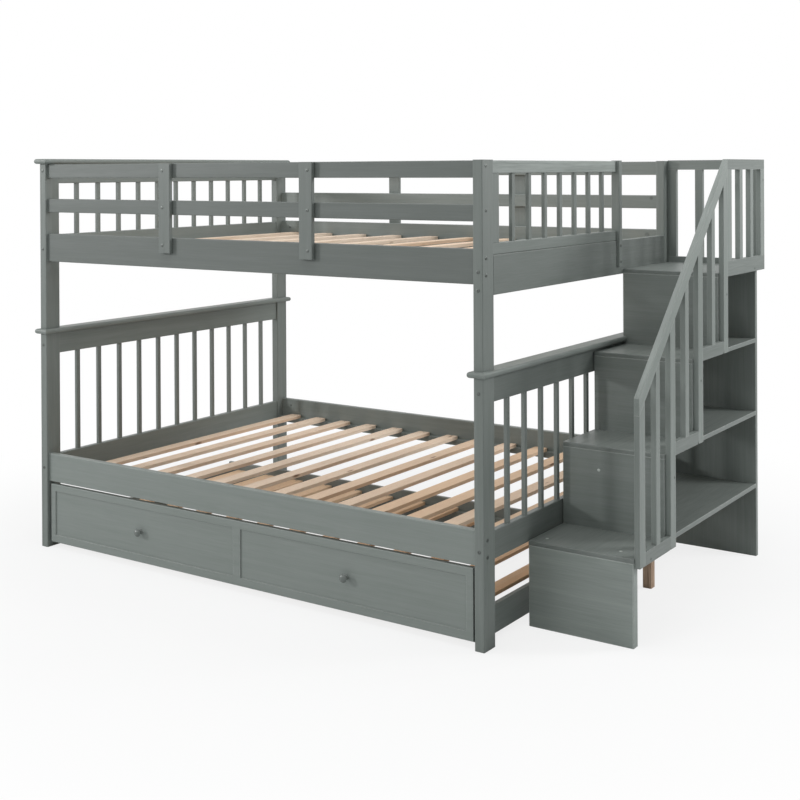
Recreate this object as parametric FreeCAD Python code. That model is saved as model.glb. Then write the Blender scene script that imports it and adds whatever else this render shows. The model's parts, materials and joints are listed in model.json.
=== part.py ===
"""Full-over-full bunk bed with a storage staircase and a pull-out trundle.

Working axes, in millimetres: X runs along the bed from its left end to the staircase, Y from the
front to the back, and Z up from the floor. Sizes are measured from the outer corner of the front
left foot; the finished pieces are moved so that the plan of the whole bed is centred on the origin.
"""
import FreeCAD, Part
import math
import os

V = FreeCAD.Vector

# ---------------------------------------------------------------------------------------------
# Driving dimensions
# ---------------------------------------------------------------------------------------------

# Bed plan
BED_LENGTH = 2000.0          # over the outer faces of the end posts
BED_WIDTH = 1460.0           # over the front and rear faces of the posts
POST_W = 34.0                # post, along the bed
POST_D = 67.0                # post, across the bed
POST_EASE = 3.0              # rounding of the long edges of a post
BOARD_EASE = 2.0             # arris taken off the long edges of rails

# Lower bunk
LOWER_POST_TOP = 828.0
LOWER_RAIL_BOTTOM = 256.0
SIDE_RAIL_H = 108.0
SIDE_RAIL_T = 22.0
SIDE_RAIL_RECESS = 10.0      # rail face behind the face of the posts
RAIL_TENON = 12.0            # length of a side rail's tenon in a post
RAIL_TENON_T = 10.0
RAIL_SHOULDER = 14.0         # above and below the tenon
LOWER_SLAT_TOP = 295.0
LOWER_SLAT_COUNT = 13
SLAT_W = 56.0
SLAT_T = 13.0
SLAT_END_MARGIN = 62.0       # from a post to the first slat
SLAT_CORNER = 5.0            # corners cut off the slat ends
SLAT_END_GAP = 3.0           # slat end to the side rail
LEDGER_W = 20.0
LEDGER_H = 25.0

# End panels
END_RAIL_T = 22.0
END_RAIL_RECESS = 5.0        # rail face behind the outer face of the posts
LOWER_END_TOP_RAIL_H = 80.5
LOWER_END_BOTTOM_RAIL_Z = 266.0
LOWER_END_BOTTOM_RAIL_H = 87.0
SPINDLE_T = 12.0
SPINDLE_W = 17.0
SPINDLE_TENON = 12.0         # length of a spindle held in each rail
TENON_CLEARANCE = 0.2
END_SPINDLE_COUNT = 11
CAP_T = 19.5
CAP_OVERHANG = 15.0
CAP_NOSE_R = 8.5             # bullnose of the cap
CAP_RISER_GAP = 2.0          # cut-back cap to the riser of the platform

# Upper bunk
UPPER_POST_TOP = 1489.0
TOP_RAIL_SET_DOWN = 2.0      # top rails below the top of the posts
UPPER_RAIL_BOTTOM = 1110.0
UPPER_SLAT_TOP = 1165.0
UPPER_SLAT_COUNT = 10
UPPER_END_TOP_RAIL_H = 76.0
UPPER_END_BOTTOM_RAIL_Z = 1113.0
UPPER_END_BOTTOM_RAIL_H = 100.0
GUARD_RAIL_T = 20.0
GUARD_TOP_RAIL_H = 53.0
GUARD_RAIL_SPACE = 81.0      # between the two guard rails
GUARD_MID_RAIL_H = 52.0
GUARD_SUPPORT_W = 56.0
GUARD_SUPPORT_T = 16.0
GUARD_SUPPORT_INSET = 648.0      # from a bed end to the near edge of a support
GUARD_SUPPORT_LAP = 54.0         # lap of a support over the side rail
DOWEL_R = 5.0
DOWEL_LENGTH = 80.0
DOWEL_CLEARANCE = 0.2

# Open end of the upper bunk
OPEN_TOP_RAIL_H = 40.0
OPEN_BOTTOM_RAIL_Z = 1198.0
OPEN_BOTTOM_RAIL_H = 36.0
OPEN_STILE_W = 37.0
OPEN_SPINDLE_COUNT = 7
SILL_BOARD_Z = 1075.0
SILL_BOARD_T = 20.0
SILL_RAIL_INSET = 4.0        # bottom rail face behind the face of the sill board
ENTRY_POST_W = 32.0          # along the bed
ENTRY_POST_D = 24.0          # across the bed
ENTRY_POST_Y = 954.0
ENTRY_POST_LAP = 11.0        # thickness of the foot that laps the sill board
ENTRY_POST_BOTTOM = 1105.0

# Staircase
STAIR_W = 360.0
STAIR_FRONT_Y = 279.5        # face of the lowest riser
STEP_RUN = 242.5
STEP_RISE = 273.0
STEP_COUNT = 4               # treads, the platform being the last
TREAD_T = 15.0
TREAD_EASE = 3.0             # rounded front edge of a tread
RISER_T = 15.0
FRONT_PANEL_T = 32.0         # lowest riser, a thick panel down to the floor
REAR_PANEL_SET_IN = 44.0     # back of the rear panel, in from the back of the bed
REAR_PANEL_T = 20.0
REAR_GUARD_SET_IN = 10.0     # back of the rear guard, in from the back of the bed
LEG_SIZE = 32.0
LEG_INSET = 150.0            # from the bed to the centre leg
LEG_Y = 828.0

# Staircase railing and platform guards
RAILING_T = 18.0
STILE_W = 41.0
BALUSTER_W = 30.0
STILE_SETBACK = 9.0          # stile behind the face of its riser
HANDRAIL_START_Z = 761.0     # top of the handrail at its lower end
HANDRAIL_DEPTH = 39.0        # square to its slope
HANDRAIL_TOP = 1491.0
FIRST_STEP_RAIL_LAP = 30.0   # lowest bottom rail, below its tread
STEP_RAIL_LAP = 9.0
STEP_RAIL_H = 42.0
STEP_RAIL_CHAMFER = 10.0     # cut-off lower corner at the far end of a bottom rail
GUARD_HEAD_H = 37.0          # top rail of the platform guards
GUARD_FOOT_H = 54.0          # bottom rail of the guard on the open side
REAR_GUARD_FOOT_RISE = 22.0  # bottom rail of the guard on the back, over the platform
PLATFORM_STILE_W = 34.0      # end stiles of the rear guard
PLATFORM_BALUSTER_COUNT = 2

# Trundle
TRUNDLE_GAP = 11.0           # front board to a post
TRUNDLE_FRONT_Z = 22.0
TRUNDLE_FRONT_H = 225.0
TRUNDLE_FRONT_T = 20.0
TRUNDLE_SIDE_GAP = 5.0       # side board to a post
TRUNDLE_SIDE_Z = 14.0
TRUNDLE_SIDE_H = 89.0
TRUNDLE_BOARD_T = 16.0
TRUNDLE_DEPTH = 1045.0       # from the front board's face to the rear board's back
TRUNDLE_REAR_H = 120.0
TRUNDLE_SLAT_T = 12.0
TRUNDLE_SLAT_W = 54.0
TRUNDLE_SLAT_COUNT = 12
TRUNDLE_SLAT_MARGIN = 40.0   # side board to the first slat
PANEL_FRAME_SIDE = 24.0      # frame of the sunk panels in the front board
PANEL_FRAME_TOP = 27.0
PANEL_FRAME_BOTTOM = 29.0
PANEL_CENTRE_STILE = 33.0
PANEL_SINK = 4.0
KNOB_R = 15.0                # head of the knob
KNOB_FOOT_R = 10.0
KNOB_NECK_R = 6.5
KNOB_NECK_START = 4.0        # along the knob, from its seat
KNOB_HEAD_START = 12.5
KNOB_CROWN_START = 18.5
KNOB_LENGTH = 27.0
KNOB_INSET = 484.5           # from the end of the front board to a knob

# Casters under the trundle
WHEEL_R = 22.0
WHEEL_W = 14.0
AXLE_R = 3.0
AXLE_CLEARANCE = 0.05
FORK_PLATE_T = 2.5
FORK_W = 26.0                # along the way the wheel rolls
WHEEL_SIDE_GAP = 1.0         # wheel to a cheek of its fork
FORK_TOP_GAP = 3.0           # wheel to the top plate of its fork
CASTER_INSET = 165.0         # wheel centre to the end of the side board

# ---------------------------------------------------------------------------------------------
# Places worked out from the driving dimensions
# ---------------------------------------------------------------------------------------------

INNER_LEFT = POST_W
INNER_RIGHT = BED_LENGTH - POST_W
REAR_POST_Y = BED_WIDTH - POST_D
RAIL_FRONT_Y = SIDE_RAIL_RECESS
RAIL_REAR_Y = BED_WIDTH - SIDE_RAIL_RECESS - SIDE_RAIL_T
LOWER_CAP_TOP = LOWER_POST_TOP + CAP_T
GUARD_TOP_RAIL_Z = UPPER_POST_TOP - TOP_RAIL_SET_DOWN - GUARD_TOP_RAIL_H
GUARD_MID_RAIL_Z = GUARD_TOP_RAIL_Z - GUARD_RAIL_SPACE - GUARD_MID_RAIL_H
OPEN_TOP_RAIL_Z = UPPER_POST_TOP - TOP_RAIL_SET_DOWN - OPEN_TOP_RAIL_H
STAIR_LEFT = BED_LENGTH
STAIR_RIGHT = BED_LENGTH + STAIR_W
RAILING_OUTER = STAIR_RIGHT + RAILING_T
PLATFORM_TOP = STEP_RISE * STEP_COUNT
PLATFORM_FRONT_Y = STAIR_FRONT_Y + STEP_RUN * (STEP_COUNT - 1)
REAR_PANEL_Y = BED_WIDTH - REAR_PANEL_SET_IN - REAR_PANEL_T
REAR_GUARD_BACK = BED_WIDTH - REAR_GUARD_SET_IN
REAR_GUARD_Y = REAR_GUARD_BACK - RAILING_T
TRUNDLE_LEFT = INNER_LEFT + TRUNDLE_GAP
TRUNDLE_RIGHT = INNER_RIGHT - TRUNDLE_GAP
TRUNDLE_FRONT_Y = SIDE_RAIL_RECESS

LEFT_REACH = -CAP_OVERHANG
FRONT_REACH = min(-CAP_OVERHANG, TRUNDLE_FRONT_Y + PANEL_SINK - KNOB_LENGTH)
BACK_REACH = BED_WIDTH + CAP_OVERHANG
PLAN_CENTRE = V((LEFT_REACH + RAILING_OUTER) / 2, (FRONT_REACH + BACK_REACH) / 2, 0)


# ---------------------------------------------------------------------------------------------
# Shared shapes
# ---------------------------------------------------------------------------------------------

def board(x, y, z, length, depth, height):
    """Plain board with its lowest corner at x, y, z."""
    return Part.makeBox(length, depth, height, V(x, y, z))


def long_edges(shape, axis):
    """Straight edges of a board that run along one axis."""
    chosen = []
    for edge in shape.Edges:
        run = edge.Vertexes[-1].Point - edge.Vertexes[0].Point
        if run.Length > 0 and abs(run.normalize().dot(axis)) > 0.999:
            chosen.append(edge)
    return chosen


def rounded(shape, axis, radius):
    """Board with its four long edges rounded."""
    return shape.makeFillet(radius, long_edges(shape, axis))


def eased(shape, axis, size=BOARD_EASE):
    """Board with the arris taken off its four long edges."""
    return shape.makeChamfer(size, long_edges(shape, axis))


def rail(x, y, z, length, depth, height):
    """Rail with eased long edges; it runs along its longer side in plan."""
    axis = V(1, 0, 0) if length > depth else V(0, 1, 0)
    return eased(board(x, y, z, length, depth, height), axis)


def post(x, y, bottom, top):
    """Bed post with rounded long edges."""
    return rounded(board(x, y, bottom, POST_W, POST_D, top - bottom), V(0, 0, 1), POST_EASE)


def rod(start, direction, radius, length):
    """Round bar or hole."""
    return Part.makeCylinder(radius, length, start, direction)


def spaced(first, last, count, width):
    """Starts of equal pieces spread evenly in a gap, with an equal space at both ends."""
    space = (last - first - count * width) / (count + 1)
    return [first + space + number * (width + space) for number in range(count)]


def laid_out(first, last, count, width):
    """Starts of equal pieces laid from one end of a stretch to the other."""
    pitch = (last - first - width) / (count - 1)
    return [first + number * pitch for number in range(count)]


def group(shapes):
    """Several separate solids that share one name."""
    return Part.makeCompound(shapes)


NODES = {}


def keep(name, shape):
    """Hold a finished piece under the name of its file."""
    NODES[name] = shape


# ---------------------------------------------------------------------------------------------
# Bed frame
# ---------------------------------------------------------------------------------------------

def rail_tenons(y, rail_bottom):
    """Bar through a side rail whose two ends are its tenons."""
    return board(INNER_LEFT - RAIL_TENON, y + (SIDE_RAIL_T - RAIL_TENON_T) / 2,
                 rail_bottom + RAIL_SHOULDER, INNER_RIGHT - INNER_LEFT + 2 * RAIL_TENON,
                 RAIL_TENON_T, SIDE_RAIL_H - 2 * RAIL_SHOULDER)


def dowel_places():
    """Plan centre of each post, where a dowel joins the upper post to the lower one."""
    places = []
    for x in (POST_W / 2, BED_LENGTH - POST_W / 2):
        for y in (POST_D / 2, BED_WIDTH - POST_D / 2):
            places.append((x, y))
    return places


def dowel_hole(x, y):
    """Hole for a dowel through the cap and into both posts."""
    reach = DOWEL_LENGTH + 2 * DOWEL_CLEARANCE
    bottom = LOWER_POST_TOP + CAP_T / 2 - reach / 2
    return rod(V(x, y, bottom), V(0, 0, 1), DOWEL_R + DOWEL_CLEARANCE, reach)


def with_dowel_holes(shape):
    """Piece cut by every dowel hole that reaches it."""
    for x, y in dowel_places():
        shape = shape.cut(dowel_hole(x, y))
    return shape


def end_posts(end, bottom, top, rail_bottom):
    """Front and rear post of one end, with a mortise for each side rail."""
    x = 0 if end == "left" else INNER_RIGHT
    pair = []
    for y, rail_y in ((0, RAIL_FRONT_Y), (REAR_POST_Y, RAIL_REAR_Y)):
        whole = mortised(post(x, y, bottom, top), [rail_tenons(rail_y, rail_bottom)])
        pair.append(with_dowel_holes(whole))
    return group(pair)


def end_rail_x(end):
    """Lowest X of the rails in an end panel."""
    if end == "left":
        return END_RAIL_RECESS
    return BED_LENGTH - END_RAIL_RECESS - END_RAIL_T


def panel_rail(x, thickness, start_y, end_y, z, height):
    """Cross rail of an end panel, between two uprights."""
    return rail(x, start_y, z, thickness, end_y - start_y, height)


def spindle_row(x, thickness, start_y, end_y, low, high, count):
    """Spindles with a tenon in the rail below and in the rail above."""
    middle = x + thickness / 2 - SPINDLE_T / 2
    row = []
    for y in spaced(start_y, end_y, count, SPINDLE_W):
        row.append(board(middle, y, low - SPINDLE_TENON, SPINDLE_T, SPINDLE_W,
                         high - low + 2 * SPINDLE_TENON))
    return row


def mortised(shape, tenoned):
    """Piece with a mortise for the tenon of each of some other pieces."""
    for other in tenoned:
        box = other.BoundBox
        play = TENON_CLEARANCE
        shape = shape.cut(board(box.XMin - play, box.YMin - play, box.ZMin - play,
                                box.XLength + 2 * play, box.YLength + 2 * play,
                                box.ZLength + 2 * play))
    return shape


def capped_end(prefix, end, bottom_z, bottom_h, top_h, post_top, cap):
    """End panel of two rails, a row of spindles and a moulded cap."""
    x = end_rail_x(end)
    top_z = post_top - top_h
    spindles = spindle_row(x, END_RAIL_T, POST_D, REAR_POST_Y, bottom_z + bottom_h, top_z,
                           END_SPINDLE_COUNT)
    lower = panel_rail(x, END_RAIL_T, POST_D, REAR_POST_Y, bottom_z, bottom_h)
    upper = panel_rail(x, END_RAIL_T, POST_D, REAR_POST_Y, top_z, top_h)
    keep(prefix + "_bottom_rail", mortised(lower, spindles))
    keep(prefix + "_top_rail", mortised(upper, spindles))
    keep(prefix + "_spindles", group(spindles))
    keep(prefix + "_cap", cap)


def moulded_cap(end, z):
    """Cap board with a bullnose all round."""
    x = -CAP_OVERHANG if end == "left" else INNER_RIGHT - CAP_OVERHANG
    blank = board(x, -CAP_OVERHANG, z, POST_W + 2 * CAP_OVERHANG,
                  BED_WIDTH + 2 * CAP_OVERHANG, CAP_T)
    flat = []
    for edge in blank.Edges:
        if abs(edge.Vertexes[0].Z - edge.Vertexes[-1].Z) < 0.001:
            flat.append(edge)
    return blank.makeFillet(CAP_NOSE_R, flat)


def stair_side_cap():
    """Cap of the lower end by the stairs, cut back where the riser of the platform stands."""
    cap = moulded_cap("right", LOWER_POST_TOP)
    notch_y = PLATFORM_FRONT_Y - CAP_RISER_GAP
    notch = board(BED_LENGTH, notch_y, LOWER_POST_TOP, CAP_OVERHANG, BED_WIDTH, CAP_T)
    return with_dowel_holes(cap.cut(notch))


def side_rails(level, rail_bottom):
    """Front and rear side rail of a bunk."""
    for side, y in (("front", RAIL_FRONT_Y), ("rear", RAIL_REAR_Y)):
        plain = rail(INNER_LEFT, y, rail_bottom, INNER_RIGHT - INNER_LEFT, SIDE_RAIL_T, SIDE_RAIL_H)
        keep(level + "_side_rail_" + side, plain.fuse(rail_tenons(y, rail_bottom)))


def ledgers(slat_top):
    """Pair of battens inside the side rails, under the slats."""
    z = slat_top - SLAT_T - LEDGER_H
    length = INNER_RIGHT - INNER_LEFT
    front = board(INNER_LEFT, RAIL_FRONT_Y + SIDE_RAIL_T, z, length, LEDGER_W, LEDGER_H)
    rear = board(INNER_LEFT, RAIL_REAR_Y - LEDGER_W, z, length, LEDGER_W, LEDGER_H)
    return group([front, rear])


def bed_slats(slat_top, count):
    """Slats across the bed, with their corners cut off, on the ledgers."""
    start_y = RAIL_FRONT_Y + SIDE_RAIL_T + SLAT_END_GAP
    end_y = RAIL_REAR_Y - SLAT_END_GAP
    first = INNER_LEFT + SLAT_END_MARGIN
    last = INNER_RIGHT - SLAT_END_MARGIN
    row = []
    for x in laid_out(first, last, count, SLAT_W):
        plain = board(x, start_y, slat_top - SLAT_T, SLAT_W, end_y - start_y, SLAT_T)
        row.append(eased(plain, V(0, 0, 1), SLAT_CORNER))
    return group(row)


def lower_bunk():
    """Lower bed: end frames, side rails and slats."""
    for end in ("left", "right"):
        keep("lower_" + end + "_posts", end_posts(end, 0, LOWER_POST_TOP, LOWER_RAIL_BOTTOM))
        cap = stair_side_cap()
        if end == "left":
            cap = with_dowel_holes(moulded_cap("left", LOWER_POST_TOP))
        capped_end("lower_" + end + "_end", end, LOWER_END_BOTTOM_RAIL_Z, LOWER_END_BOTTOM_RAIL_H,
                   LOWER_END_TOP_RAIL_H, LOWER_POST_TOP, cap)
    side_rails("lower", LOWER_RAIL_BOTTOM)
    keep("lower_slat_ledgers", ledgers(LOWER_SLAT_TOP))
    keep("lower_slats", bed_slats(LOWER_SLAT_TOP, LOWER_SLAT_COUNT))


def upper_bunk():
    """Upper bed: capped end, side rails and slats on posts that stand on the lower caps."""
    for end in ("left", "right"):
        posts = end_posts(end, LOWER_CAP_TOP, UPPER_POST_TOP, UPPER_RAIL_BOTTOM)
        keep("upper_" + end + "_posts", posts)
    capped_end("upper_left_end", "left", UPPER_END_BOTTOM_RAIL_Z, UPPER_END_BOTTOM_RAIL_H,
               UPPER_END_TOP_RAIL_H, UPPER_POST_TOP, moulded_cap("left", UPPER_POST_TOP))
    side_rails("upper", UPPER_RAIL_BOTTOM)
    keep("upper_slat_ledgers", ledgers(UPPER_SLAT_TOP))
    keep("upper_slats", bed_slats(UPPER_SLAT_TOP, UPPER_SLAT_COUNT))
    dowels = []
    for x, y in dowel_places():
        bottom = LOWER_POST_TOP + CAP_T / 2 - DOWEL_LENGTH / 2
        dowels.append(rod(V(x, y, bottom), V(0, 0, 1), DOWEL_R, DOWEL_LENGTH))
    keep("post_dowels", group(dowels))


def guards():
    """Two-rail guards along the front and the back of the upper bunk."""
    length = INNER_RIGHT - INNER_LEFT
    support_bottom = UPPER_RAIL_BOTTOM + SIDE_RAIL_H - GUARD_SUPPORT_LAP
    support_h = GUARD_TOP_RAIL_Z + GUARD_TOP_RAIL_H - support_bottom
    left_x = GUARD_SUPPORT_INSET
    right_x = BED_LENGTH - GUARD_SUPPORT_INSET - GUARD_SUPPORT_W
    front_y = RAIL_FRONT_Y
    rear_y = BED_WIDTH - SIDE_RAIL_RECESS - GUARD_RAIL_T
    faces = {"front": (front_y, front_y - GUARD_SUPPORT_T),
             "rear": (rear_y, rear_y + GUARD_RAIL_T)}
    for side, (rail_y, support_y) in faces.items():
        top = rail(INNER_LEFT, rail_y, GUARD_TOP_RAIL_Z, length, GUARD_RAIL_T, GUARD_TOP_RAIL_H)
        mid = rail(INNER_LEFT, rail_y, GUARD_MID_RAIL_Z, length, GUARD_RAIL_T, GUARD_MID_RAIL_H)
        supports = []
        for x in (left_x, right_x):
            plain = board(x, support_y, support_bottom, GUARD_SUPPORT_W, GUARD_SUPPORT_T, support_h)
            supports.append(eased(plain, V(0, 0, 1)))
        keep(side + "_guard_rails", group([top, mid]))
        keep(side + "_guard_supports", group(supports))


def entry_post():
    """Upright at the way in, with a half-lapped foot over the face of the sill board."""
    x = BED_LENGTH + ENTRY_POST_LAP - ENTRY_POST_W
    height = UPPER_POST_TOP - ENTRY_POST_BOTTOM
    plain = board(x, ENTRY_POST_Y, ENTRY_POST_BOTTOM, ENTRY_POST_W, ENTRY_POST_D, height)
    lap = board(x, ENTRY_POST_Y, ENTRY_POST_BOTTOM, ENTRY_POST_W - ENTRY_POST_LAP, ENTRY_POST_D,
                OPEN_BOTTOM_RAIL_Z - ENTRY_POST_BOTTOM)
    return eased(plain, V(0, 0, 1)).cut(lap)


def open_end():
    """Upper end by the stairs: short spindle panel, sill board and entry post."""
    sill_x = BED_LENGTH - SILL_BOARD_T
    rail_x = sill_x - SILL_RAIL_INSET
    sill_h = OPEN_BOTTOM_RAIL_Z - SILL_BOARD_Z
    stile_end = POST_D + OPEN_STILE_W
    bottom_top = OPEN_BOTTOM_RAIL_Z + OPEN_BOTTOM_RAIL_H
    spindles = spindle_row(rail_x, END_RAIL_T, stile_end, ENTRY_POST_Y, bottom_top, OPEN_TOP_RAIL_Z,
                           OPEN_SPINDLE_COUNT)
    low = panel_rail(rail_x, END_RAIL_T, POST_D, ENTRY_POST_Y, OPEN_BOTTOM_RAIL_Z,
                     OPEN_BOTTOM_RAIL_H)
    top = panel_rail(rail_x, END_RAIL_T, POST_D, ENTRY_POST_Y, OPEN_TOP_RAIL_Z, OPEN_TOP_RAIL_H)
    stile = board(rail_x, POST_D, bottom_top, END_RAIL_T, OPEN_STILE_W, OPEN_TOP_RAIL_Z - bottom_top)
    sill = panel_rail(sill_x, SILL_BOARD_T, POST_D, REAR_POST_Y, SILL_BOARD_Z, sill_h)
    keep("upper_right_end_bottom_rail", mortised(low, spindles))
    keep("upper_right_end_top_rail", mortised(top, spindles))
    keep("upper_right_end_spindles", group(spindles + [stile]))
    keep("upper_right_sill_board", sill)
    keep("entry_post", entry_post())


# ---------------------------------------------------------------------------------------------
# Staircase
# ---------------------------------------------------------------------------------------------

def riser_y(step):
    """Y of the face of the riser under a tread, counted from 1."""
    return STAIR_FRONT_Y + STEP_RUN * (step - 1)


def tread(step, back_y):
    """Tread that runs on towards the back as a shelf, with a rounded front edge."""
    y = riser_y(step)
    top = STEP_RISE * step
    plain = board(STAIR_LEFT, y, top - TREAD_T, STAIR_W, back_y - y, TREAD_T)
    front = []
    for edge in long_edges(plain, V(1, 0, 0)):
        if abs(edge.Vertexes[0].Y - y) < 0.001 and edge.Vertexes[0].Z > top - TREAD_T / 2:
            front.append(edge)
    return plain.makeFillet(TREAD_EASE, front)


def staircase():
    """Boxed stairs whose treads carry on as open shelves."""
    first_underside = STEP_RISE - TREAD_T
    front = board(STAIR_LEFT, STAIR_FRONT_Y, 0, STAIR_W, FRONT_PANEL_T, first_underside)
    keep("stair_front_panel", eased(front, V(0, 0, 1)))
    risers = []
    for step in range(2, STEP_COUNT + 1):
        low = STEP_RISE * (step - 1)
        risers.append(board(STAIR_LEFT, riser_y(step), low, STAIR_W, RISER_T, STEP_RISE - TREAD_T))
    keep("stair_risers", group(risers))
    keep("stair_treads", group([tread(step, REAR_PANEL_Y) for step in range(1, STEP_COUNT)]))
    keep("stair_platform", tread(STEP_COUNT, REAR_GUARD_Y))
    keep("stair_rear_panel", board(STAIR_LEFT, REAR_PANEL_Y, 0, STAIR_W, REAR_PANEL_T,
                                   PLATFORM_TOP - TREAD_T))
    leg = board(STAIR_LEFT + LEG_INSET, LEG_Y, 0, LEG_SIZE, LEG_SIZE, first_underside)
    keep("stair_centre_leg", eased(leg, V(0, 0, 1)))


def stile_y(number):
    """Y of a railing stile, counted from 1 at the foot of the stairs."""
    return riser_y(number) + STILE_SETBACK


def step_rail_bottom(step):
    """Underside of the short bottom rail beside a tread."""
    lap = FIRST_STEP_RAIL_LAP if step == 1 else STEP_RAIL_LAP
    return STEP_RISE * step - lap


def handrail_slope():
    """Rise over run of the handrail."""
    run = stile_y(STEP_COUNT) + STILE_W - stile_y(1)
    return (HANDRAIL_TOP - HANDRAIL_START_Z) / run


def handrail_underside(y):
    """Height of the underside of the handrail at a place along the stairs."""
    slope = handrail_slope()
    drop = HANDRAIL_DEPTH * math.sqrt(1 + slope * slope)
    return HANDRAIL_START_Z + slope * (y - stile_y(1)) - drop


def railing_face(points):
    """Flat piece of the railing, from its outline in the plane of the railing."""
    corners = [V(STAIR_RIGHT, y, z) for y, z in points]
    wire = Part.makePolygon(corners + [corners[0]])
    return Part.Face(wire).extrude(V(RAILING_T, 0, 0))


def upright(y, width, bottom):
    """Upright whose sloping top meets the underside of the handrail."""
    return railing_face([(y, bottom), (y + width, bottom),
                         (y + width, handrail_underside(y + width)), (y, handrail_underside(y))])


def railing():
    """Sloping handrail with its stiles, balusters and stepped bottom rails."""
    start = stile_y(1)
    end = stile_y(STEP_COUNT) + STILE_W
    handrail = railing_face([(start, handrail_underside(start)), (end, handrail_underside(end)),
                             (end, HANDRAIL_TOP), (start, HANDRAIL_START_Z)])
    keep("stair_handrail", handrail)
    uprights = [upright(start, STILE_W, step_rail_bottom(1))]
    feet = []
    for step in range(1, STEP_COUNT):
        left = stile_y(step) + STILE_W
        right = stile_y(step + 1)
        bottom = step_rail_bottom(step)
        cut_y = right - STEP_RAIL_CHAMFER
        feet.append(railing_face([(left, bottom), (cut_y, bottom),
                                  (right, bottom + STEP_RAIL_CHAMFER),
                                  (right, bottom + STEP_RAIL_H), (left, bottom + STEP_RAIL_H)]))
        middle = (left + right - BALUSTER_W) / 2
        uprights.append(upright(middle, BALUSTER_W, bottom + STEP_RAIL_H))
        uprights.append(upright(right, STILE_W, bottom))
    keep("stair_railing_uprights", group(uprights))
    keep("stair_railing_bottom_rails", group(feet))


def platform_guards():
    """Guards lapped over the edges of the platform: one on its open side and one on its back."""
    head_z = HANDRAIL_TOP - GUARD_HEAD_H
    foot_z = PLATFORM_TOP - TREAD_T
    foot_top = foot_z + GUARD_FOOT_H
    start = stile_y(STEP_COUNT) + STILE_W
    end = REAR_GUARD_BACK
    head = board(STAIR_RIGHT, start, head_z, RAILING_T, end - start, GUARD_HEAD_H)
    foot = board(STAIR_RIGHT, start, foot_z, RAILING_T, end - start, GUARD_FOOT_H)
    keep("platform_side_guard_rails", group([head, foot]))
    places = [(start, STILE_W), (end - STILE_W, STILE_W)]
    for y in spaced(start + STILE_W, end - STILE_W, PLATFORM_BALUSTER_COUNT, BALUSTER_W):
        places.append((y, BALUSTER_W))
    side = [board(STAIR_RIGHT, y, foot_top, RAILING_T, width, head_z - foot_top)
            for y, width in places]
    keep("platform_side_guard_uprights", group(side))

    back_foot_top = PLATFORM_TOP + REAR_GUARD_FOOT_RISE
    back_head = board(STAIR_LEFT, REAR_GUARD_Y, head_z, STAIR_W, RAILING_T, GUARD_HEAD_H)
    back_foot = board(STAIR_LEFT, REAR_GUARD_Y, foot_z, STAIR_W, RAILING_T,
                      back_foot_top - foot_z)
    keep("platform_rear_guard_rails", group([back_head, back_foot]))
    left = STAIR_LEFT + PLATFORM_STILE_W
    right = STAIR_RIGHT - PLATFORM_STILE_W
    places = [(STAIR_LEFT, PLATFORM_STILE_W), (right, PLATFORM_STILE_W)]
    for x in spaced(left, right, PLATFORM_BALUSTER_COUNT, BALUSTER_W):
        places.append((x, BALUSTER_W))
    back = [board(x, REAR_GUARD_Y, back_foot_top, width, RAILING_T, head_z - back_foot_top)
            for x, width in places]
    keep("platform_rear_guard_uprights", group(back))


# ---------------------------------------------------------------------------------------------
# Trundle
# ---------------------------------------------------------------------------------------------

def trundle_front():
    """Front board made to look like two drawers, with two sunk panels."""
    length = TRUNDLE_RIGHT - TRUNDLE_LEFT
    front = rail(TRUNDLE_LEFT, TRUNDLE_FRONT_Y, TRUNDLE_FRONT_Z, length, TRUNDLE_FRONT_T,
                 TRUNDLE_FRONT_H)
    panel_w = (length - 2 * PANEL_FRAME_SIDE - PANEL_CENTRE_STILE) / 2
    panel_h = TRUNDLE_FRONT_H - PANEL_FRAME_TOP - PANEL_FRAME_BOTTOM
    panel_z = TRUNDLE_FRONT_Z + PANEL_FRAME_BOTTOM
    left_x = TRUNDLE_LEFT + PANEL_FRAME_SIDE
    right_x = TRUNDLE_RIGHT - PANEL_FRAME_SIDE - panel_w
    for x in (left_x, right_x):
        front = front.cut(board(x, TRUNDLE_FRONT_Y, panel_z, panel_w, PANEL_SINK, panel_h))
    return front


def knob(x, z):
    """Turned knob: round foot, slim neck and domed head, seated on the sunk panel."""
    profile = [V(0, 0, 0), V(KNOB_FOOT_R, 0, 0), V(KNOB_NECK_R, 0, KNOB_NECK_START),
               V(KNOB_NECK_R, 0, KNOB_HEAD_START), V(KNOB_R, 0, KNOB_CROWN_START)]
    edges = [Part.LineSegment(a, b).toShape() for a, b in zip(profile, profile[1:])]
    rise = KNOB_LENGTH - KNOB_CROWN_START
    crown_r = (KNOB_R ** 2 + rise ** 2) / (2 * rise)
    half_angle = math.asin(KNOB_R / crown_r) / 2
    middle = V(crown_r * math.sin(half_angle), 0,
               KNOB_LENGTH - crown_r * (1 - math.cos(half_angle)))
    top = V(0, 0, KNOB_LENGTH)
    crown = Part.Arc(profile[-1], middle, top).toShape()
    axis_line = Part.LineSegment(top, profile[0]).toShape()
    outline = Part.Face(Part.Wire(edges + [crown, axis_line]))
    turned = outline.revolve(V(0, 0, 0), V(0, 0, 1), 360)
    turned.rotate(V(0, 0, 0), V(1, 0, 0), 90)
    turned.translate(V(x, TRUNDLE_FRONT_Y + PANEL_SINK, z))
    return turned


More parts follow.
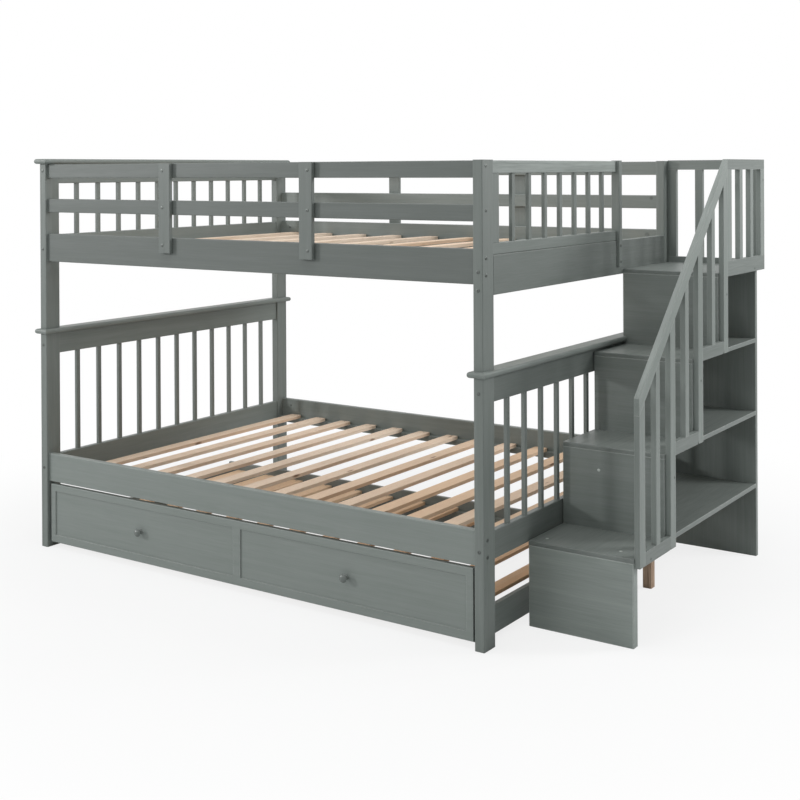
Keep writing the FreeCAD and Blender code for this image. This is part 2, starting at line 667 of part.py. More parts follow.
def trundle_frame():
    """Front, sides, rear board, ledgers, slats and knobs of the trundle."""
    keep("trundle_front", trundle_front())
    side_y = TRUNDLE_FRONT_Y + TRUNDLE_FRONT_T
    rear_y = TRUNDLE_FRONT_Y + TRUNDLE_DEPTH - TRUNDLE_BOARD_T
    left_x = INNER_LEFT + TRUNDLE_SIDE_GAP
    right_x = INNER_RIGHT - TRUNDLE_SIDE_GAP - TRUNDLE_BOARD_T
    sides = [board(x, side_y, TRUNDLE_SIDE_Z, TRUNDLE_BOARD_T, rear_y - side_y, TRUNDLE_SIDE_H)
             for x in (left_x, right_x)]
    keep("trundle_sides", group(sides))
    full = right_x + TRUNDLE_BOARD_T - left_x
    keep("trundle_rear", rail(left_x, rear_y, TRUNDLE_SIDE_Z, full, TRUNDLE_BOARD_T, TRUNDLE_REAR_H))
    inner_left = left_x + TRUNDLE_BOARD_T
    inner = right_x - inner_left
    slat_z = TRUNDLE_SIDE_Z + TRUNDLE_SIDE_H - TRUNDLE_SLAT_T
    ledger_z = slat_z - LEDGER_H
    pair = [board(inner_left, side_y, ledger_z, inner, LEDGER_W, LEDGER_H),
            board(inner_left, rear_y - LEDGER_W, ledger_z, inner, LEDGER_W, LEDGER_H)]
    keep("trundle_ledgers", group(pair))
    slats = []
    first = inner_left + TRUNDLE_SLAT_MARGIN
    last = right_x - TRUNDLE_SLAT_MARGIN
    for x in laid_out(first, last, TRUNDLE_SLAT_COUNT, TRUNDLE_SLAT_W):
        slats.append(board(x, side_y, slat_z, TRUNDLE_SLAT_W, rear_y - side_y, TRUNDLE_SLAT_T))
    keep("trundle_slats", group(slats))
    knob_z = TRUNDLE_FRONT_Z + TRUNDLE_FRONT_H / 2
    keep("trundle_knobs", group([knob(TRUNDLE_LEFT + KNOB_INSET, knob_z),
                                 knob(TRUNDLE_RIGHT - KNOB_INSET, knob_z)]))


def caster_fork(x, y):
    """U-shaped bracket with its axle; x is the lowest X of the bracket, y the axle's."""
    span = WHEEL_W + 2 * WHEEL_SIDE_GAP
    width = span + 2 * FORK_PLATE_T
    bottom = WHEEL_R - AXLE_R * 2
    plate_z = 2 * WHEEL_R + FORK_TOP_GAP
    height = plate_z + FORK_PLATE_T - bottom
    outer = board(x, y - FORK_W / 2, bottom, width, FORK_W, height)
    hollow = board(x + FORK_PLATE_T, y - FORK_W / 2, bottom, span, FORK_W, plate_z - bottom)
    axle = rod(V(x, y, WHEEL_R), V(1, 0, 0), AXLE_R, width)
    return outer.cut(hollow).fuse(axle)


def caster_wheel(x, y):
    """Wheel with an axle bore."""
    tyre = rod(V(x, y, WHEEL_R), V(1, 0, 0), WHEEL_R, WHEEL_W)
    bore = rod(V(x, y, WHEEL_R), V(1, 0, 0), AXLE_R + AXLE_CLEARANCE, WHEEL_W)
    return tyre.cut(bore)


def casters():
    """Four fixed casters on the inner faces of the trundle's sides."""
    fork_w = WHEEL_W + 2 * WHEEL_SIDE_GAP + 2 * FORK_PLATE_T
    left_x = INNER_LEFT + TRUNDLE_SIDE_GAP + TRUNDLE_BOARD_T
    right_x = INNER_RIGHT - TRUNDLE_SIDE_GAP - TRUNDLE_BOARD_T - fork_w
    front_y = TRUNDLE_FRONT_Y + TRUNDLE_FRONT_T + CASTER_INSET
    rear_y = TRUNDLE_FRONT_Y + TRUNDLE_DEPTH - TRUNDLE_BOARD_T - CASTER_INSET
    forks = []
    for side, x in (("left", left_x), ("right", right_x)):
        for place, y in (("front", front_y), ("rear", rear_y)):
            forks.append(caster_fork(x, y))
            wheel = caster_wheel(x + FORK_PLATE_T + WHEEL_SIDE_GAP, y)
            keep("caster_wheel_" + place + "_" + side, wheel)
    keep("caster_forks", group(forks))


def main():
    """Build every piece, centre the plan on the origin and write one file for each name."""
    lower_bunk()
    upper_bunk()
    guards()
    open_end()
    staircase()
    railing()
    platform_guards()
    trundle_frame()
    casters()
    os.makedirs("parts", exist_ok=True)
    for name, shape in NODES.items():
        shape.translate(-PLAN_CENTRE)
        shape.exportStep("parts/" + name + ".step")
    print(len(NODES), "pieces, plan centre at", PLAN_CENTRE)


main()
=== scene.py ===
"""Looks of a grey painted bunk bed with storage stairs and a pull-out trundle.

The frame brings in the fixed solids. This script gives each of them its finish, adds the small
fittings that a joiner would see (socket bolts, barrel nuts, slat screws, screw caps, moulded
wheels and their rivets), and sets up the plain floor, the lamps and the camera. Lengths are in
metres unless a name ends in mm, and places given to bed() are in millimetres from the outer foot
of the front left post.
"""

import json
import logging
import math
from contextlib import contextmanager
from dataclasses import dataclass
from enum import Enum
from typing import Any, Callable, Iterable, Iterator

import bmesh
import bpy
from mathutils import Matrix, Vector

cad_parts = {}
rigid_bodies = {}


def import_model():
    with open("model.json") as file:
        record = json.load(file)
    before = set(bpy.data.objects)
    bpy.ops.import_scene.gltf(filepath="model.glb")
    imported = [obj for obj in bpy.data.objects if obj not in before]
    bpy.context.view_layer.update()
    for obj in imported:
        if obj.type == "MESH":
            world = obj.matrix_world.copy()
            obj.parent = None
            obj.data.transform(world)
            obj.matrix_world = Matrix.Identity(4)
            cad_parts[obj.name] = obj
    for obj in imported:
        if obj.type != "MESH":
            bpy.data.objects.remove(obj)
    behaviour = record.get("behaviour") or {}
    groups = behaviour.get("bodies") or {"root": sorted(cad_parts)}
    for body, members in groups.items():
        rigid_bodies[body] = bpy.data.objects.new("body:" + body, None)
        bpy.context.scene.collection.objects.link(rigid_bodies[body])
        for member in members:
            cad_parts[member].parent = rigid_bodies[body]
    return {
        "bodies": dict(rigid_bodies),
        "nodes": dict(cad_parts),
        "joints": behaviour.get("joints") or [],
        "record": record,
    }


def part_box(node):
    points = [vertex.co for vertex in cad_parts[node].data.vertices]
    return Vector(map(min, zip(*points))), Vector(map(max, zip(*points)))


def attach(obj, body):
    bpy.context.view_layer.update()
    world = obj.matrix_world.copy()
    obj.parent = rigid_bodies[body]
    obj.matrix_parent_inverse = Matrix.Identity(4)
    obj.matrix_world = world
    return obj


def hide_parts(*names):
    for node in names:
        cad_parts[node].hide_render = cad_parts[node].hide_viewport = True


LOG = logging.getLogger("bunk_bed")
MM = 0.001                        # one millimetre in metres
PLAN_CENTRE_MM = (1181.5, 730.0)  # middle of the bed and its stairs, seen from above
BED_LENGTH_MM = 2000.0            # over the posts
BED_WIDTH_MM = 1460.0
SAME_PLACE = 1e-5                 # places closer than this count as one
LEVEL_NORMAL = 0.9                # a face whose normal is steeper than this counts as level
SMOOTH_UNDER = math.radians(35)   # edges flatter than this are shaded smooth
PINE_IOR = 1.5                    # of bare wood and of its paint or stain


def bed(x: float, y: float, z: float) -> Vector:
    """Place on the bed, from millimetres off the front left foot to metres in the row frame.

    Args:
        x: distance along the bed, towards the stairs.
        y: distance from the front of the bed to the back.
        z: height over the floor.

    Returns:
        The same place in the row frame.
    """
    return Vector(((x - PLAN_CENTRE_MM[0]) * MM, (y - PLAN_CENTRE_MM[1]) * MM, z * MM))


# ---------------------------------------------------------------------------------------------
# Colours and shader nodes
# ---------------------------------------------------------------------------------------------

def linear(code: str, share: float = 1.0) -> tuple[float, float, float, float]:
    """Linear colour of an sRGB hex value.

    Args:
        code: colour as "#rrggbb".
        share: factor on the linear values, for a lighter or darker copy of one colour, as painted
            light and shade.

    Returns:
        Red, green, blue and an alpha of 1.
    """
    channels = []
    for start in (1, 3, 5):
        value = int(code[start:start + 2], 16) / 255
        straight = value / 12.92 if value <= 0.04045 else ((value + 0.055) / 1.055) ** 2.4
        channels.append(min(straight * share, 1.0))
    return (channels[0], channels[1], channels[2], 1.0)


def add_node(tree: bpy.types.NodeTree, kind: str, settings: dict[str, Any] | None = None,
             inputs: dict[str | int, Any] | None = None) -> bpy.types.Node:
    """Add a node with its settings, its values and its links.

    Args:
        tree: node tree that the node goes into.
        kind: Blender's name of the node.
        settings: properties of the node.
        inputs: value, or socket to link from, for each input by name or number.

    Returns:
        The new node.
    """
    node = tree.nodes.new(kind)
    for name, value in (settings or {}).items():
        setattr(node, name, value)
    for key, value in (inputs or {}).items():
        if isinstance(value, bpy.types.NodeSocket):
            tree.links.new(value, node.inputs[key])
        else:
            node.inputs[key].default_value = value
    return node


def empty_material(name: str) -> tuple[bpy.types.Material, bpy.types.NodeTree]:
    """New material with no nodes.

    Args:
        name: name of the finish.

    Returns:
        The material and its node tree.
    """
    material = bpy.data.materials.new(name)
    material.use_nodes = True
    material.node_tree.nodes.clear()
    return material, material.node_tree


class Grain(Enum):
    """Way the wood fibres run, as turns about X, Y and Z that bring them to the Y axis."""

    ALONG_BED = (0.0, 0.0, math.radians(-90))
    ACROSS_BED = (0.0, 0.0, 0.0)
    UPRIGHT = (math.radians(90), 0.0, 0.0)
    HANDRAIL = (math.radians(43.4), 0.0, 0.0)


@dataclass(frozen=True)
class Spot:
    """Round mark in the wood, in millimetres: a knot under the paint, or the painted shade of a
    sunk screw's hole.
    """

    x: float
    y: float
    z: float
    radius: float
    colour: str = "#4c514d"
    strength: float = 0.6


@dataclass(frozen=True)
class GreyPaintedPine:
    """Satin grey paint, sprayed and rubbed down, over pine.

    The paint is thin, so the fibres still read as fine streaks along each board. The arrises are
    drawn a little paler, partly where the paint was rubbed through and partly as a painted
    highlight where they catch the light. The gloss is low and breaks up along the grain.
    """

    name: str
    grain: Grain
    paint: str = "#7f8582"
    hollow: str = "#737a76"
    # paler colour of the arris: rubbed-through paint and a painted highlight
    arris_and_highlight: str = "#a9aeab"
    painted_light: float = 1.0             # painted light and shade: factor on all colours, lighter for boards that get more light
    worn_lit_edge_mm: float = 2.2           # width of the paler arris: rubbed-through paint and a painted highlight
    fibre_mm: float = 2.4         # real fibres are under 1 mm; drawn at 2.4 mm so that they show
    fibre_length_mm: float = 110.0
    fibre_levels: tuple[float, float] = (0.36, 0.62)   # of the noise, at hollow and at fibre
    fibre_share: float = 0.45     # of the tone that follows the fibres; the rest is growth rings
    band_mm: float = 19.0         # spacing of the growth rings seen on a flat board
    band_length_mm: float = 620.0
    band_levels: tuple[float, float] = (0.34, 0.64)
    clouds_per_m: float = 5.5     # uneven spray, in patches about 180 mm across
    cloud_depth: float = 0.12
    wear_and_highlight: float = 0.85            # how far the arris goes to its paler colour of wear and painted highlight
    wear_and_highlight_turns: tuple[float, float] = (0.985, 0.80)   # cosines where the paler arris, wear and painted highlight, starts and is full
    gloss: tuple[float, float] = (0.50, 0.38)   # roughness in the hollows and on the fibres
    relief_mm: float = 0.25       # depth of the fibres under the paint
    spots: tuple[Spot, ...] = ()

    def material(self) -> bpy.types.Material:
        """Build the shader.

        Returns:
            The finished material.
        """
        material, tree = empty_material(self.name)
        coords = add_node(tree, "ShaderNodeTexCoord")
        fields = []
        for width, length in ((self.fibre_mm, self.fibre_length_mm),
                              (self.band_mm, self.band_length_mm)):
            place = add_node(tree, "ShaderNodeMapping", {"vector_type": "TEXTURE"},
                             {"Vector": coords.outputs["Object"], "Rotation": self.grain.value,
                              "Scale": (width * MM, length * MM, width * MM)})
            fields.append(add_node(tree, "ShaderNodeTexNoise", None,
                                   {"Vector": place.outputs[0], "Scale": 1.0, "Detail": 3.0,
                                    "Roughness": 0.6}))
        fibres, bands = fields
        cloud = add_node(tree, "ShaderNodeTexNoise", None,
                         {"Vector": coords.outputs["Object"], "Scale": self.clouds_per_m,
                          "Detail": 1.0})
        streak = add_node(tree, "ShaderNodeMapRange", None,
                          {"Value": fibres.outputs[0], "From Min": self.fibre_levels[0],
                           "From Max": self.fibre_levels[1]})
        ring = add_node(tree, "ShaderNodeMapRange", None,
                        {"Value": bands.outputs[0], "From Min": self.band_levels[0],
                         "From Max": self.band_levels[1]})
        mottle = add_node(tree, "ShaderNodeMapRange", None,
                          {"Value": cloud.outputs[0], "From Min": 0.3, "From Max": 0.7,
                           "To Min": -self.cloud_depth, "To Max": self.cloud_depth})
        half = add_node(tree, "ShaderNodeMath", {"operation": "MULTIPLY_ADD"},
                        {0: streak.outputs[0], 1: self.fibre_share, 2: mottle.outputs[0]})
        amount = add_node(tree, "ShaderNodeMath", {"operation": "MULTIPLY_ADD", "use_clamp": True},
                          {0: ring.outputs[0], 1: 1 - self.fibre_share, 2: half.outputs[0]})
        colour = add_node(tree, "ShaderNodeMix", {"data_type": "RGBA"},
                          {0: amount.outputs[0], 6: linear(self.hollow, self.painted_light),
                           7: linear(self.paint, self.painted_light)})
        tone = colour.outputs[2]
        for spot in self.spots:
            reach = add_node(tree, "ShaderNodeVectorMath", {"operation": "DISTANCE"},
                             {0: coords.outputs["Object"], 1: bed(spot.x, spot.y, spot.z)})
            share = add_node(tree, "ShaderNodeMapRange", None,
                             {"Value": reach.outputs["Value"], "From Min": spot.radius * MM * 0.5,
                              "From Max": spot.radius * MM, "To Min": spot.strength,
                              "To Max": 0.0})
            marked = add_node(tree, "ShaderNodeMix", {"data_type": "RGBA"},
                              {0: share.outputs[0], 6: tone, 7: linear(spot.colour)})
            tone = marked.outputs[2]
        # The paler arris, partly rubbed-through paint and partly a painted highlight, is where a
        # rounded normal turns away from the board's flat one.
        round_edge = add_node(tree, "ShaderNodeBevel", {"samples": 4},
                              {"Radius": self.worn_lit_edge_mm * MM})
        flat = add_node(tree, "ShaderNodeNewGeometry")
        turn = add_node(tree, "ShaderNodeVectorMath", {"operation": "DOT_PRODUCT"},
                        {0: round_edge.outputs[0], 1: flat.outputs["Normal"]})
        worn_and_lit_edge = add_node(tree, "ShaderNodeMapRange", None,
                          {"Value": turn.outputs["Value"], "From Min": self.wear_and_highlight_turns[0],
                           "From Max": self.wear_and_highlight_turns[1], "To Min": 0.0, "To Max": self.wear_and_highlight})
        worn_and_lit_tone = add_node(tree, "ShaderNodeMix", {"data_type": "RGBA"},
                        {0: worn_and_lit_edge.outputs[0], 6: tone, 7: linear(self.arris_and_highlight, self.painted_light)})
        gloss = add_node(tree, "ShaderNodeMapRange", None,
                         {"Value": fibres.outputs[0], "From Min": 0.3, "From Max": 0.7,
                          "To Min": self.gloss[0], "To Max": self.gloss[1]})
        relief = add_node(tree, "ShaderNodeBump", None,
                          {"Strength": 0.35, "Distance": self.relief_mm * MM,
                           "Height": fibres.outputs[0], "Normal": round_edge.outputs[0]})
        shader = add_node(tree, "ShaderNodeBsdfPrincipled", None,
                          {"Base Color": worn_and_lit_tone.outputs[2], "Roughness": gloss.outputs[0],
                           "IOR": PINE_IOR, "Specular IOR Level": 0.4,
                           "Normal": relief.outputs[0]})
        add_node(tree, "ShaderNodeOutputMaterial", None, {"Surface": shader.outputs[0]})
        return material


@dataclass(frozen=True)
class SawnPine:
    """Planed pine with no finish: warm and dull, with growth rings and a few knots.

    Each slat has a tone of its own, and the slats grow warmer towards the right end of the bed.
    """

    name: str
    grain: Grain
    pitch_mm: float               # from one slat to the next, so that each has its own tone
    pale: str = "#f4e2cf"
    warm: str = "#e9c7a4"
    ring: str = "#c99a72"
    knot: str = "#7d5233"
    own_share: float = 0.55       # how far a slat's own tone may go from pale to warm
    warmth_along: tuple[float, float] = (-0.15, 0.45)   # added at the left and the right end
    ends_m: tuple[float, float] = (-0.7, 0.9)           # where those two ends are
    slide_m: float = 3.0          # how far the pattern may slide from one slat to the next
    ring_mm: float = 7.0
    ring_length_mm: float = 260.0
    ring_levels: tuple[float, float] = (0.55, 1.0)      # of the wave, where a ring starts and ends
    ring_depth: float = 0.42
    fibre_mm: float = 1.6         # real fibres are under 1 mm; drawn at 1.6 mm so that they show
    fibre_length_mm: float = 70.0
    fibre_levels: tuple[float, float] = (0.42, 0.68)
    fibre_depth: float = 0.30
    knot_apart_mm: tuple[float, float] = (60.0, 230.0)  # across and along the grain
    knot_reach: tuple[float, float] = (0.05, 0.12)      # shares of that spacing
    knot_depth: float = 0.8
    relief_mm: float = 0.3
    roughness: float = 0.62

    def material(self) -> bpy.types.Material:
        """Build the shader.

        Returns:
            The finished material.
        """
        material, tree = empty_material(self.name)
        coords = add_node(tree, "ShaderNodeTexCoord")
        split = add_node(tree, "ShaderNodeSeparateXYZ", None, {0: coords.outputs["Object"]})
        number = add_node(tree, "ShaderNodeMath", {"operation": "MULTIPLY"},
                          {0: split.outputs[0], 1: 1 / (self.pitch_mm * MM)})
        whole = add_node(tree, "ShaderNodeMath", {"operation": "ROUND"}, {0: number.outputs[0]})
        own = add_node(tree, "ShaderNodeTexWhiteNoise", {"noise_dimensions": "1D"},
                       {"W": whole.outputs[0]})
        warmer = add_node(tree, "ShaderNodeMapRange", None,
                          {"Value": split.outputs[0], "From Min": self.ends_m[0],
                           "From Max": self.ends_m[1], "To Min": self.warmth_along[0],
                           "To Max": self.warmth_along[1]})
        tone = add_node(tree, "ShaderNodeMath", {"operation": "MULTIPLY_ADD", "use_clamp": True},
                        {0: own.outputs["Value"], 1: self.own_share, 2: warmer.outputs[0]})
        slide = add_node(tree, "ShaderNodeVectorMath", {"operation": "SCALE"},
                         {0: own.outputs["Color"], "Scale": self.slide_m})
        moved = add_node(tree, "ShaderNodeVectorMath", {"operation": "ADD"},
                         {0: coords.outputs["Object"], 1: slide.outputs[0]})
        rings_at, fibres_at, knots_at = (
            add_node(tree, "ShaderNodeMapping", {"vector_type": "TEXTURE"},
                     {"Vector": moved.outputs[0], "Rotation": self.grain.value,
                      "Scale": (width * MM, length * MM, width * MM)})
            for width, length in ((self.ring_mm, self.ring_length_mm),
                                  (self.fibre_mm, self.fibre_length_mm), self.knot_apart_mm))
        rings = add_node(tree, "ShaderNodeTexWave", {"wave_type": "BANDS", "bands_direction": "X"},
                         {"Vector": rings_at.outputs[0], "Scale": 0.5, "Distortion": 3.2,
                          "Detail": 2.0, "Detail Scale": 0.6})
        fibres = add_node(tree, "ShaderNodeTexNoise", None,
                          {"Vector": fibres_at.outputs[0], "Scale": 1.0, "Detail": 3.0})
        knots = add_node(tree, "ShaderNodeTexVoronoi", {"feature": "F1"},
                         {"Vector": knots_at.outputs[0], "Scale": 1.0, "Randomness": 1.0})
        base = add_node(tree, "ShaderNodeMix", {"data_type": "RGBA"},
                        {0: tone.outputs[0], 6: linear(self.pale), 7: linear(self.warm)})
        ring_share = add_node(tree, "ShaderNodeMapRange", None,
                              {"Value": rings.outputs["Fac"], "From Min": self.ring_levels[0],
                               "From Max": self.ring_levels[1], "To Max": self.ring_depth})
        ringed = add_node(tree, "ShaderNodeMix", {"data_type": "RGBA"},
                          {0: ring_share.outputs[0], 6: base.outputs[2], 7: linear(self.ring)})
        fibre_share = add_node(tree, "ShaderNodeMapRange", None,
                               {"Value": fibres.outputs[0], "From Min": self.fibre_levels[0],
                                "From Max": self.fibre_levels[1], "To Max": self.fibre_depth})
        lined = add_node(tree, "ShaderNodeMix", {"data_type": "RGBA"},
                         {0: fibre_share.outputs[0], 6: ringed.outputs[2], 7: linear(self.ring)})
        knot_share = add_node(tree, "ShaderNodeMapRange", None,
                              {"Value": knots.outputs["Distance"], "From Min": self.knot_reach[0],
                               "From Max": self.knot_reach[1], "To Min": self.knot_depth,
                               "To Max": 0.0})
        knotted = add_node(tree, "ShaderNodeMix", {"data_type": "RGBA"},
                           {0: knot_share.outputs[0], 6: lined.outputs[2], 7: linear(self.knot)})
        relief = add_node(tree, "ShaderNodeBump", None,
                          {"Strength": 0.3, "Distance": self.relief_mm * MM,
                           "Height": fibres.outputs[0]})
        shader = add_node(tree, "ShaderNodeBsdfPrincipled", None,
                          {"Base Color": knotted.outputs[2], "Roughness": self.roughness,
                           "IOR": PINE_IOR, "Specular IOR Level": 0.3,
                           "Normal": relief.outputs[0]})
        add_node(tree, "ShaderNodeOutputMaterial", None, {"Surface": shader.outputs[0]})
        return material


@dataclass(frozen=True)
class BrownStainedPine:
    """Pine stained a dull brown, as on the bare centre leg: darker open fibres, little gloss."""

    name: str = "brown_stained_pine"
    stain: str = "#d2b79e"
    pores: str = "#84695a"
    fibre_mm: float = 2.0         # real fibres are under 1 mm; drawn at 2 mm so that they show
    fibre_length_mm: float = 80.0
    fibre_levels: tuple[float, float] = (0.35, 0.68)
    relief_mm: float = 0.3
    roughness: float = 0.58

    def material(self) -> bpy.types.Material:
        """Build the shader.

        Returns:
            The finished material.
        """
        material, tree = empty_material(self.name)
        coords = add_node(tree, "ShaderNodeTexCoord")
        place = add_node(tree, "ShaderNodeMapping", {"vector_type": "TEXTURE"},
                         {"Vector": coords.outputs["Object"], "Rotation": Grain.UPRIGHT.value,
                          "Scale": (self.fibre_mm * MM, self.fibre_length_mm * MM,
                                    self.fibre_mm * MM)})
        fibres = add_node(tree, "ShaderNodeTexNoise", None,
                          {"Vector": place.outputs[0], "Scale": 1.0, "Detail": 4.0})
        share = add_node(tree, "ShaderNodeMapRange", None,
                         {"Value": fibres.outputs[0], "From Min": self.fibre_levels[0],
                          "From Max": self.fibre_levels[1]})
        colour = add_node(tree, "ShaderNodeMix", {"data_type": "RGBA"},
                          {0: share.outputs[0], 6: linear(self.stain), 7: linear(self.pores)})
        relief = add_node(tree, "ShaderNodeBump", None,
                          {"Strength": 0.3, "Distance": self.relief_mm * MM,
                           "Height": fibres.outputs[0]})
        shader = add_node(tree, "ShaderNodeBsdfPrincipled", None,
                          {"Base Color": colour.outputs[2], "Roughness": self.roughness,
                           "IOR": PINE_IOR, "Specular IOR Level": 0.3,
                           "Normal": relief.outputs[0]})
        add_node(tree, "ShaderNodeOutputMaterial", None, {"Surface": shader.outputs[0]})
        return material


@dataclass(frozen=True)
class ZincPlatedSteel:
    """Zinc-plated steel, bright or darkened: a soft metal shine with cloudy, duller patches."""

    name: str = "zinc_plated_steel"
    metal: str = "#a3a6a3"
    dull: str = "#7d807e"
    roughness: float = 0.36       # of the plating; the patches are duller and the rest brighter
    duller: float = 0.12
    brighter: float = 0.06
    cloud_mm: float = 6.0         # size of the patches

    def material(self) -> bpy.types.Material:
        """Build the shader.

        Returns:
            The finished material.
        """
        material, tree = empty_material(self.name)
        coords = add_node(tree, "ShaderNodeTexCoord")
        cloud = add_node(tree, "ShaderNodeTexNoise", None,
                         {"Vector": coords.outputs["Object"], "Scale": 1 / (self.cloud_mm * MM),
                          "Detail": 3.0})
        colour = add_node(tree, "ShaderNodeMix", {"data_type": "RGBA"},
                          {0: cloud.outputs[0], 6: linear(self.dull), 7: linear(self.metal)})
        gloss = add_node(tree, "ShaderNodeMapRange", None,
                         {"Value": cloud.outputs[0], "To Min": self.roughness + self.duller,
                          "To Max": self.roughness - self.brighter})
        shader = add_node(tree, "ShaderNodeBsdfPrincipled", None,
                          {"Base Color": colour.outputs[2], "Metallic": 1.0,
                           "Roughness": gloss.outputs[0]})
        add_node(tree, "ShaderNodeOutputMaterial", None, {"Surface": shader.outputs[0]})
        return material


@dataclass(frozen=True)
class MouldedPlastic:
    """Moulded polypropylene: an even colour, a fine sparked surface and a dull, waxy gloss."""

    name: str
    colour: str
    shade: str
    roughness: float = 0.5
    spark_mm: float = 0.9         # real texture is 0.1 mm; drawn coarser so that it shows
    relief_mm: float = 0.1
    ior: float = 1.49

    def material(self) -> bpy.types.Material:
        """Build the shader.

        Returns:
            The finished material.
        """
        material, tree = empty_material(self.name)
        coords = add_node(tree, "ShaderNodeTexCoord")
        spark = add_node(tree, "ShaderNodeTexNoise", None,
                         {"Vector": coords.outputs["Object"], "Scale": 1 / (self.spark_mm * MM),
                          "Detail": 2.0})
        colour = add_node(tree, "ShaderNodeMix", {"data_type": "RGBA"},
                          {0: spark.outputs[0], 6: linear(self.shade), 7: linear(self.colour)})
        relief = add_node(tree, "ShaderNodeBump", None,
                          {"Strength": 0.2, "Distance": self.relief_mm * MM,
                           "Height": spark.outputs[0]})
        shader = add_node(tree, "ShaderNodeBsdfPrincipled", None,
                          {"Base Color": colour.outputs[2], "Roughness": self.roughness,
                           "IOR": self.ior, "Normal": relief.outputs[0]})
        add_node(tree, "ShaderNodeOutputMaterial", None, {"Surface": shader.outputs[0]})
        return material


# ---------------------------------------------------------------------------------------------
# Modelling by hand, in code
# ---------------------------------------------------------------------------------------------

# Proportions of the fittings. Each is a share of the fitting's radius, or of its height where the
# name says so.
BOLT_RIM_OF_HEIGHT = 0.35
BOLT_SOCKET_FLOOR_OF_HEIGHT = 0.25
BOLT_SOCKET = 0.48
BOLT_SHOULDER = 0.5
SCREW_CONE = 0.6
SCREW_TIP = 0.45
SCREW_SLOT_LENGTH = 1.2
SCREW_SLOT_WIDTH = 0.28
SCREW_SLOT_DEPTH = 0.5
CAP_EDGE_OF_HEIGHT = 0.55
CAP_RINGS = ((0.3, 0.3), (0.35, 0.15))    # inset of the radius and rise of the height, each
NUT_RIM = 0.14
NUT_SLOT = (2.4, 0.3, 0.7)                # length, width and height of the cut


class Facing(Enum):
    """Way that a fitting looks out of the wood."""

    FRONT = (0.0, -1.0, 0.0)
    BACK = (0.0, 1.0, 0.0)
    LEFT = (-1.0, 0.0, 0.0)
    RIGHT = (1.0, 0.0, 0.0)
    UP = (0.0, 0.0, 1.0)


Place = tuple[Vector, Facing]     # where a fitting sits and the way it looks


def select_only(piece: bpy.types.Object | None) -> None:
    """Select one object, or nothing.

    Args:
        piece: object to select and make active.
    """
    bpy.ops.object.select_all(action="DESELECT")
    if piece is not None:
        piece.select_set(True)
        bpy.context.view_layer.objects.active = piece


@contextmanager
def editing(piece: bpy.types.Object) -> Iterator[None]:
    """Keep one object, and no other, in edit mode until the block ends.

    Args:
        piece: object to shape.
    """
    select_only(piece)
    bpy.ops.object.mode_set(mode="EDIT")
    yield
    bpy.ops.object.mode_set(mode="OBJECT")


def pick_faces(piece: bpy.types.Object, wanted: Callable[[bmesh.types.BMFace], bool]) -> None:
    """In edit mode, select the faces that pass a test and no others.

    Args:
        piece: object in edit mode.
        wanted: test of a face.
    """
    mesh = bmesh.from_edit_mesh(piece.data)
    bpy.ops.mesh.select_mode(type="FACE")
    bpy.ops.mesh.select_all(action="DESELECT")
    for face in mesh.faces:
        face.select_set(wanted(face))
    bmesh.update_edit_mesh(piece.data)


def top_face(height: float) -> Callable[[bmesh.types.BMFace], bool]:
    """Test for the level face at a height that looks up.

    Args:
        height: height of the face's middle.

    Returns:
        The test.
    """
    return lambda face: (face.normal.z > LEVEL_NORMAL
                         and abs(face.calc_center_median().z - height) < SAME_PLACE)


def looks_down(face: bmesh.types.BMFace) -> bool:
    """Whether a face is level and looks down."""
    return face.normal.z < -LEVEL_NORMAL


def cut_away(piece: bpy.types.Object, cutter: bpy.types.Object) -> None:
    """Cut one solid out of another and remove the cutter.

    Args:
        piece: solid that is cut.
        cutter: solid that is taken away.
    """
    select_only(piece)
    cut = piece.modifiers.new("cut", "BOOLEAN")
    cut.operation = "DIFFERENCE"
    cut.solver = "EXACT"
    cut.object = cutter
    bpy.ops.object.modifier_apply(modifier=cut.name)
    bpy.data.objects.remove(cutter)


def round_blank(name: str, radius: float, low: float, high: float,
                sides: int = 24) -> bpy.types.Object:
    """Round bar along Z, as a start for turned fittings.

    Args:
        name: name of the new object.
        radius: radius of the bar.
        low: height of its lower end.
        high: height of its upper end.
        sides: number of sides.

    Returns:
        The new object, active and selected.
    """
    select_only(None)
    bpy.ops.mesh.primitive_cylinder_add(vertices=sides, radius=radius, depth=high - low,
                                        location=(0, 0, (low + high) / 2))
    blank = bpy.context.active_object
    blank.name = name
    bpy.ops.object.transform_apply(location=True, rotation=True, scale=True)
    return blank


def cut_slot(piece: bpy.types.Object, height: float, size: tuple[float, float, float],
             turn: float = 0.0) -> None:
    """Cut a straight slot across the middle of a fitting.

    Args:
        piece: fitting to cut.
        height: height of the slot's middle.
        size: length, width and height of the cut.
        turn: turn of the slot about Z.
    """
    select_only(None)
    bpy.ops.mesh.primitive_cube_add(size=1, location=(0, 0, height), rotation=(0, 0, turn))
    slot = bpy.context.active_object
    slot.scale = size
    bpy.ops.object.transform_apply(location=True, rotation=True, scale=True)
    cut_away(piece, slot)


def soften_rim(piece: bpy.types.Object, height: float, width: float) -> None:
    """Round over the rim of the level face at a height.

    Args:
        piece: object to shape.
        height: height of the face.
        width: width of the rounding.
    """
    with editing(piece):
        pick_faces(piece, top_face(height))
        bpy.ops.mesh.region_to_loop()
        bpy.ops.mesh.bevel(offset=width, segments=2, affect="EDGES")


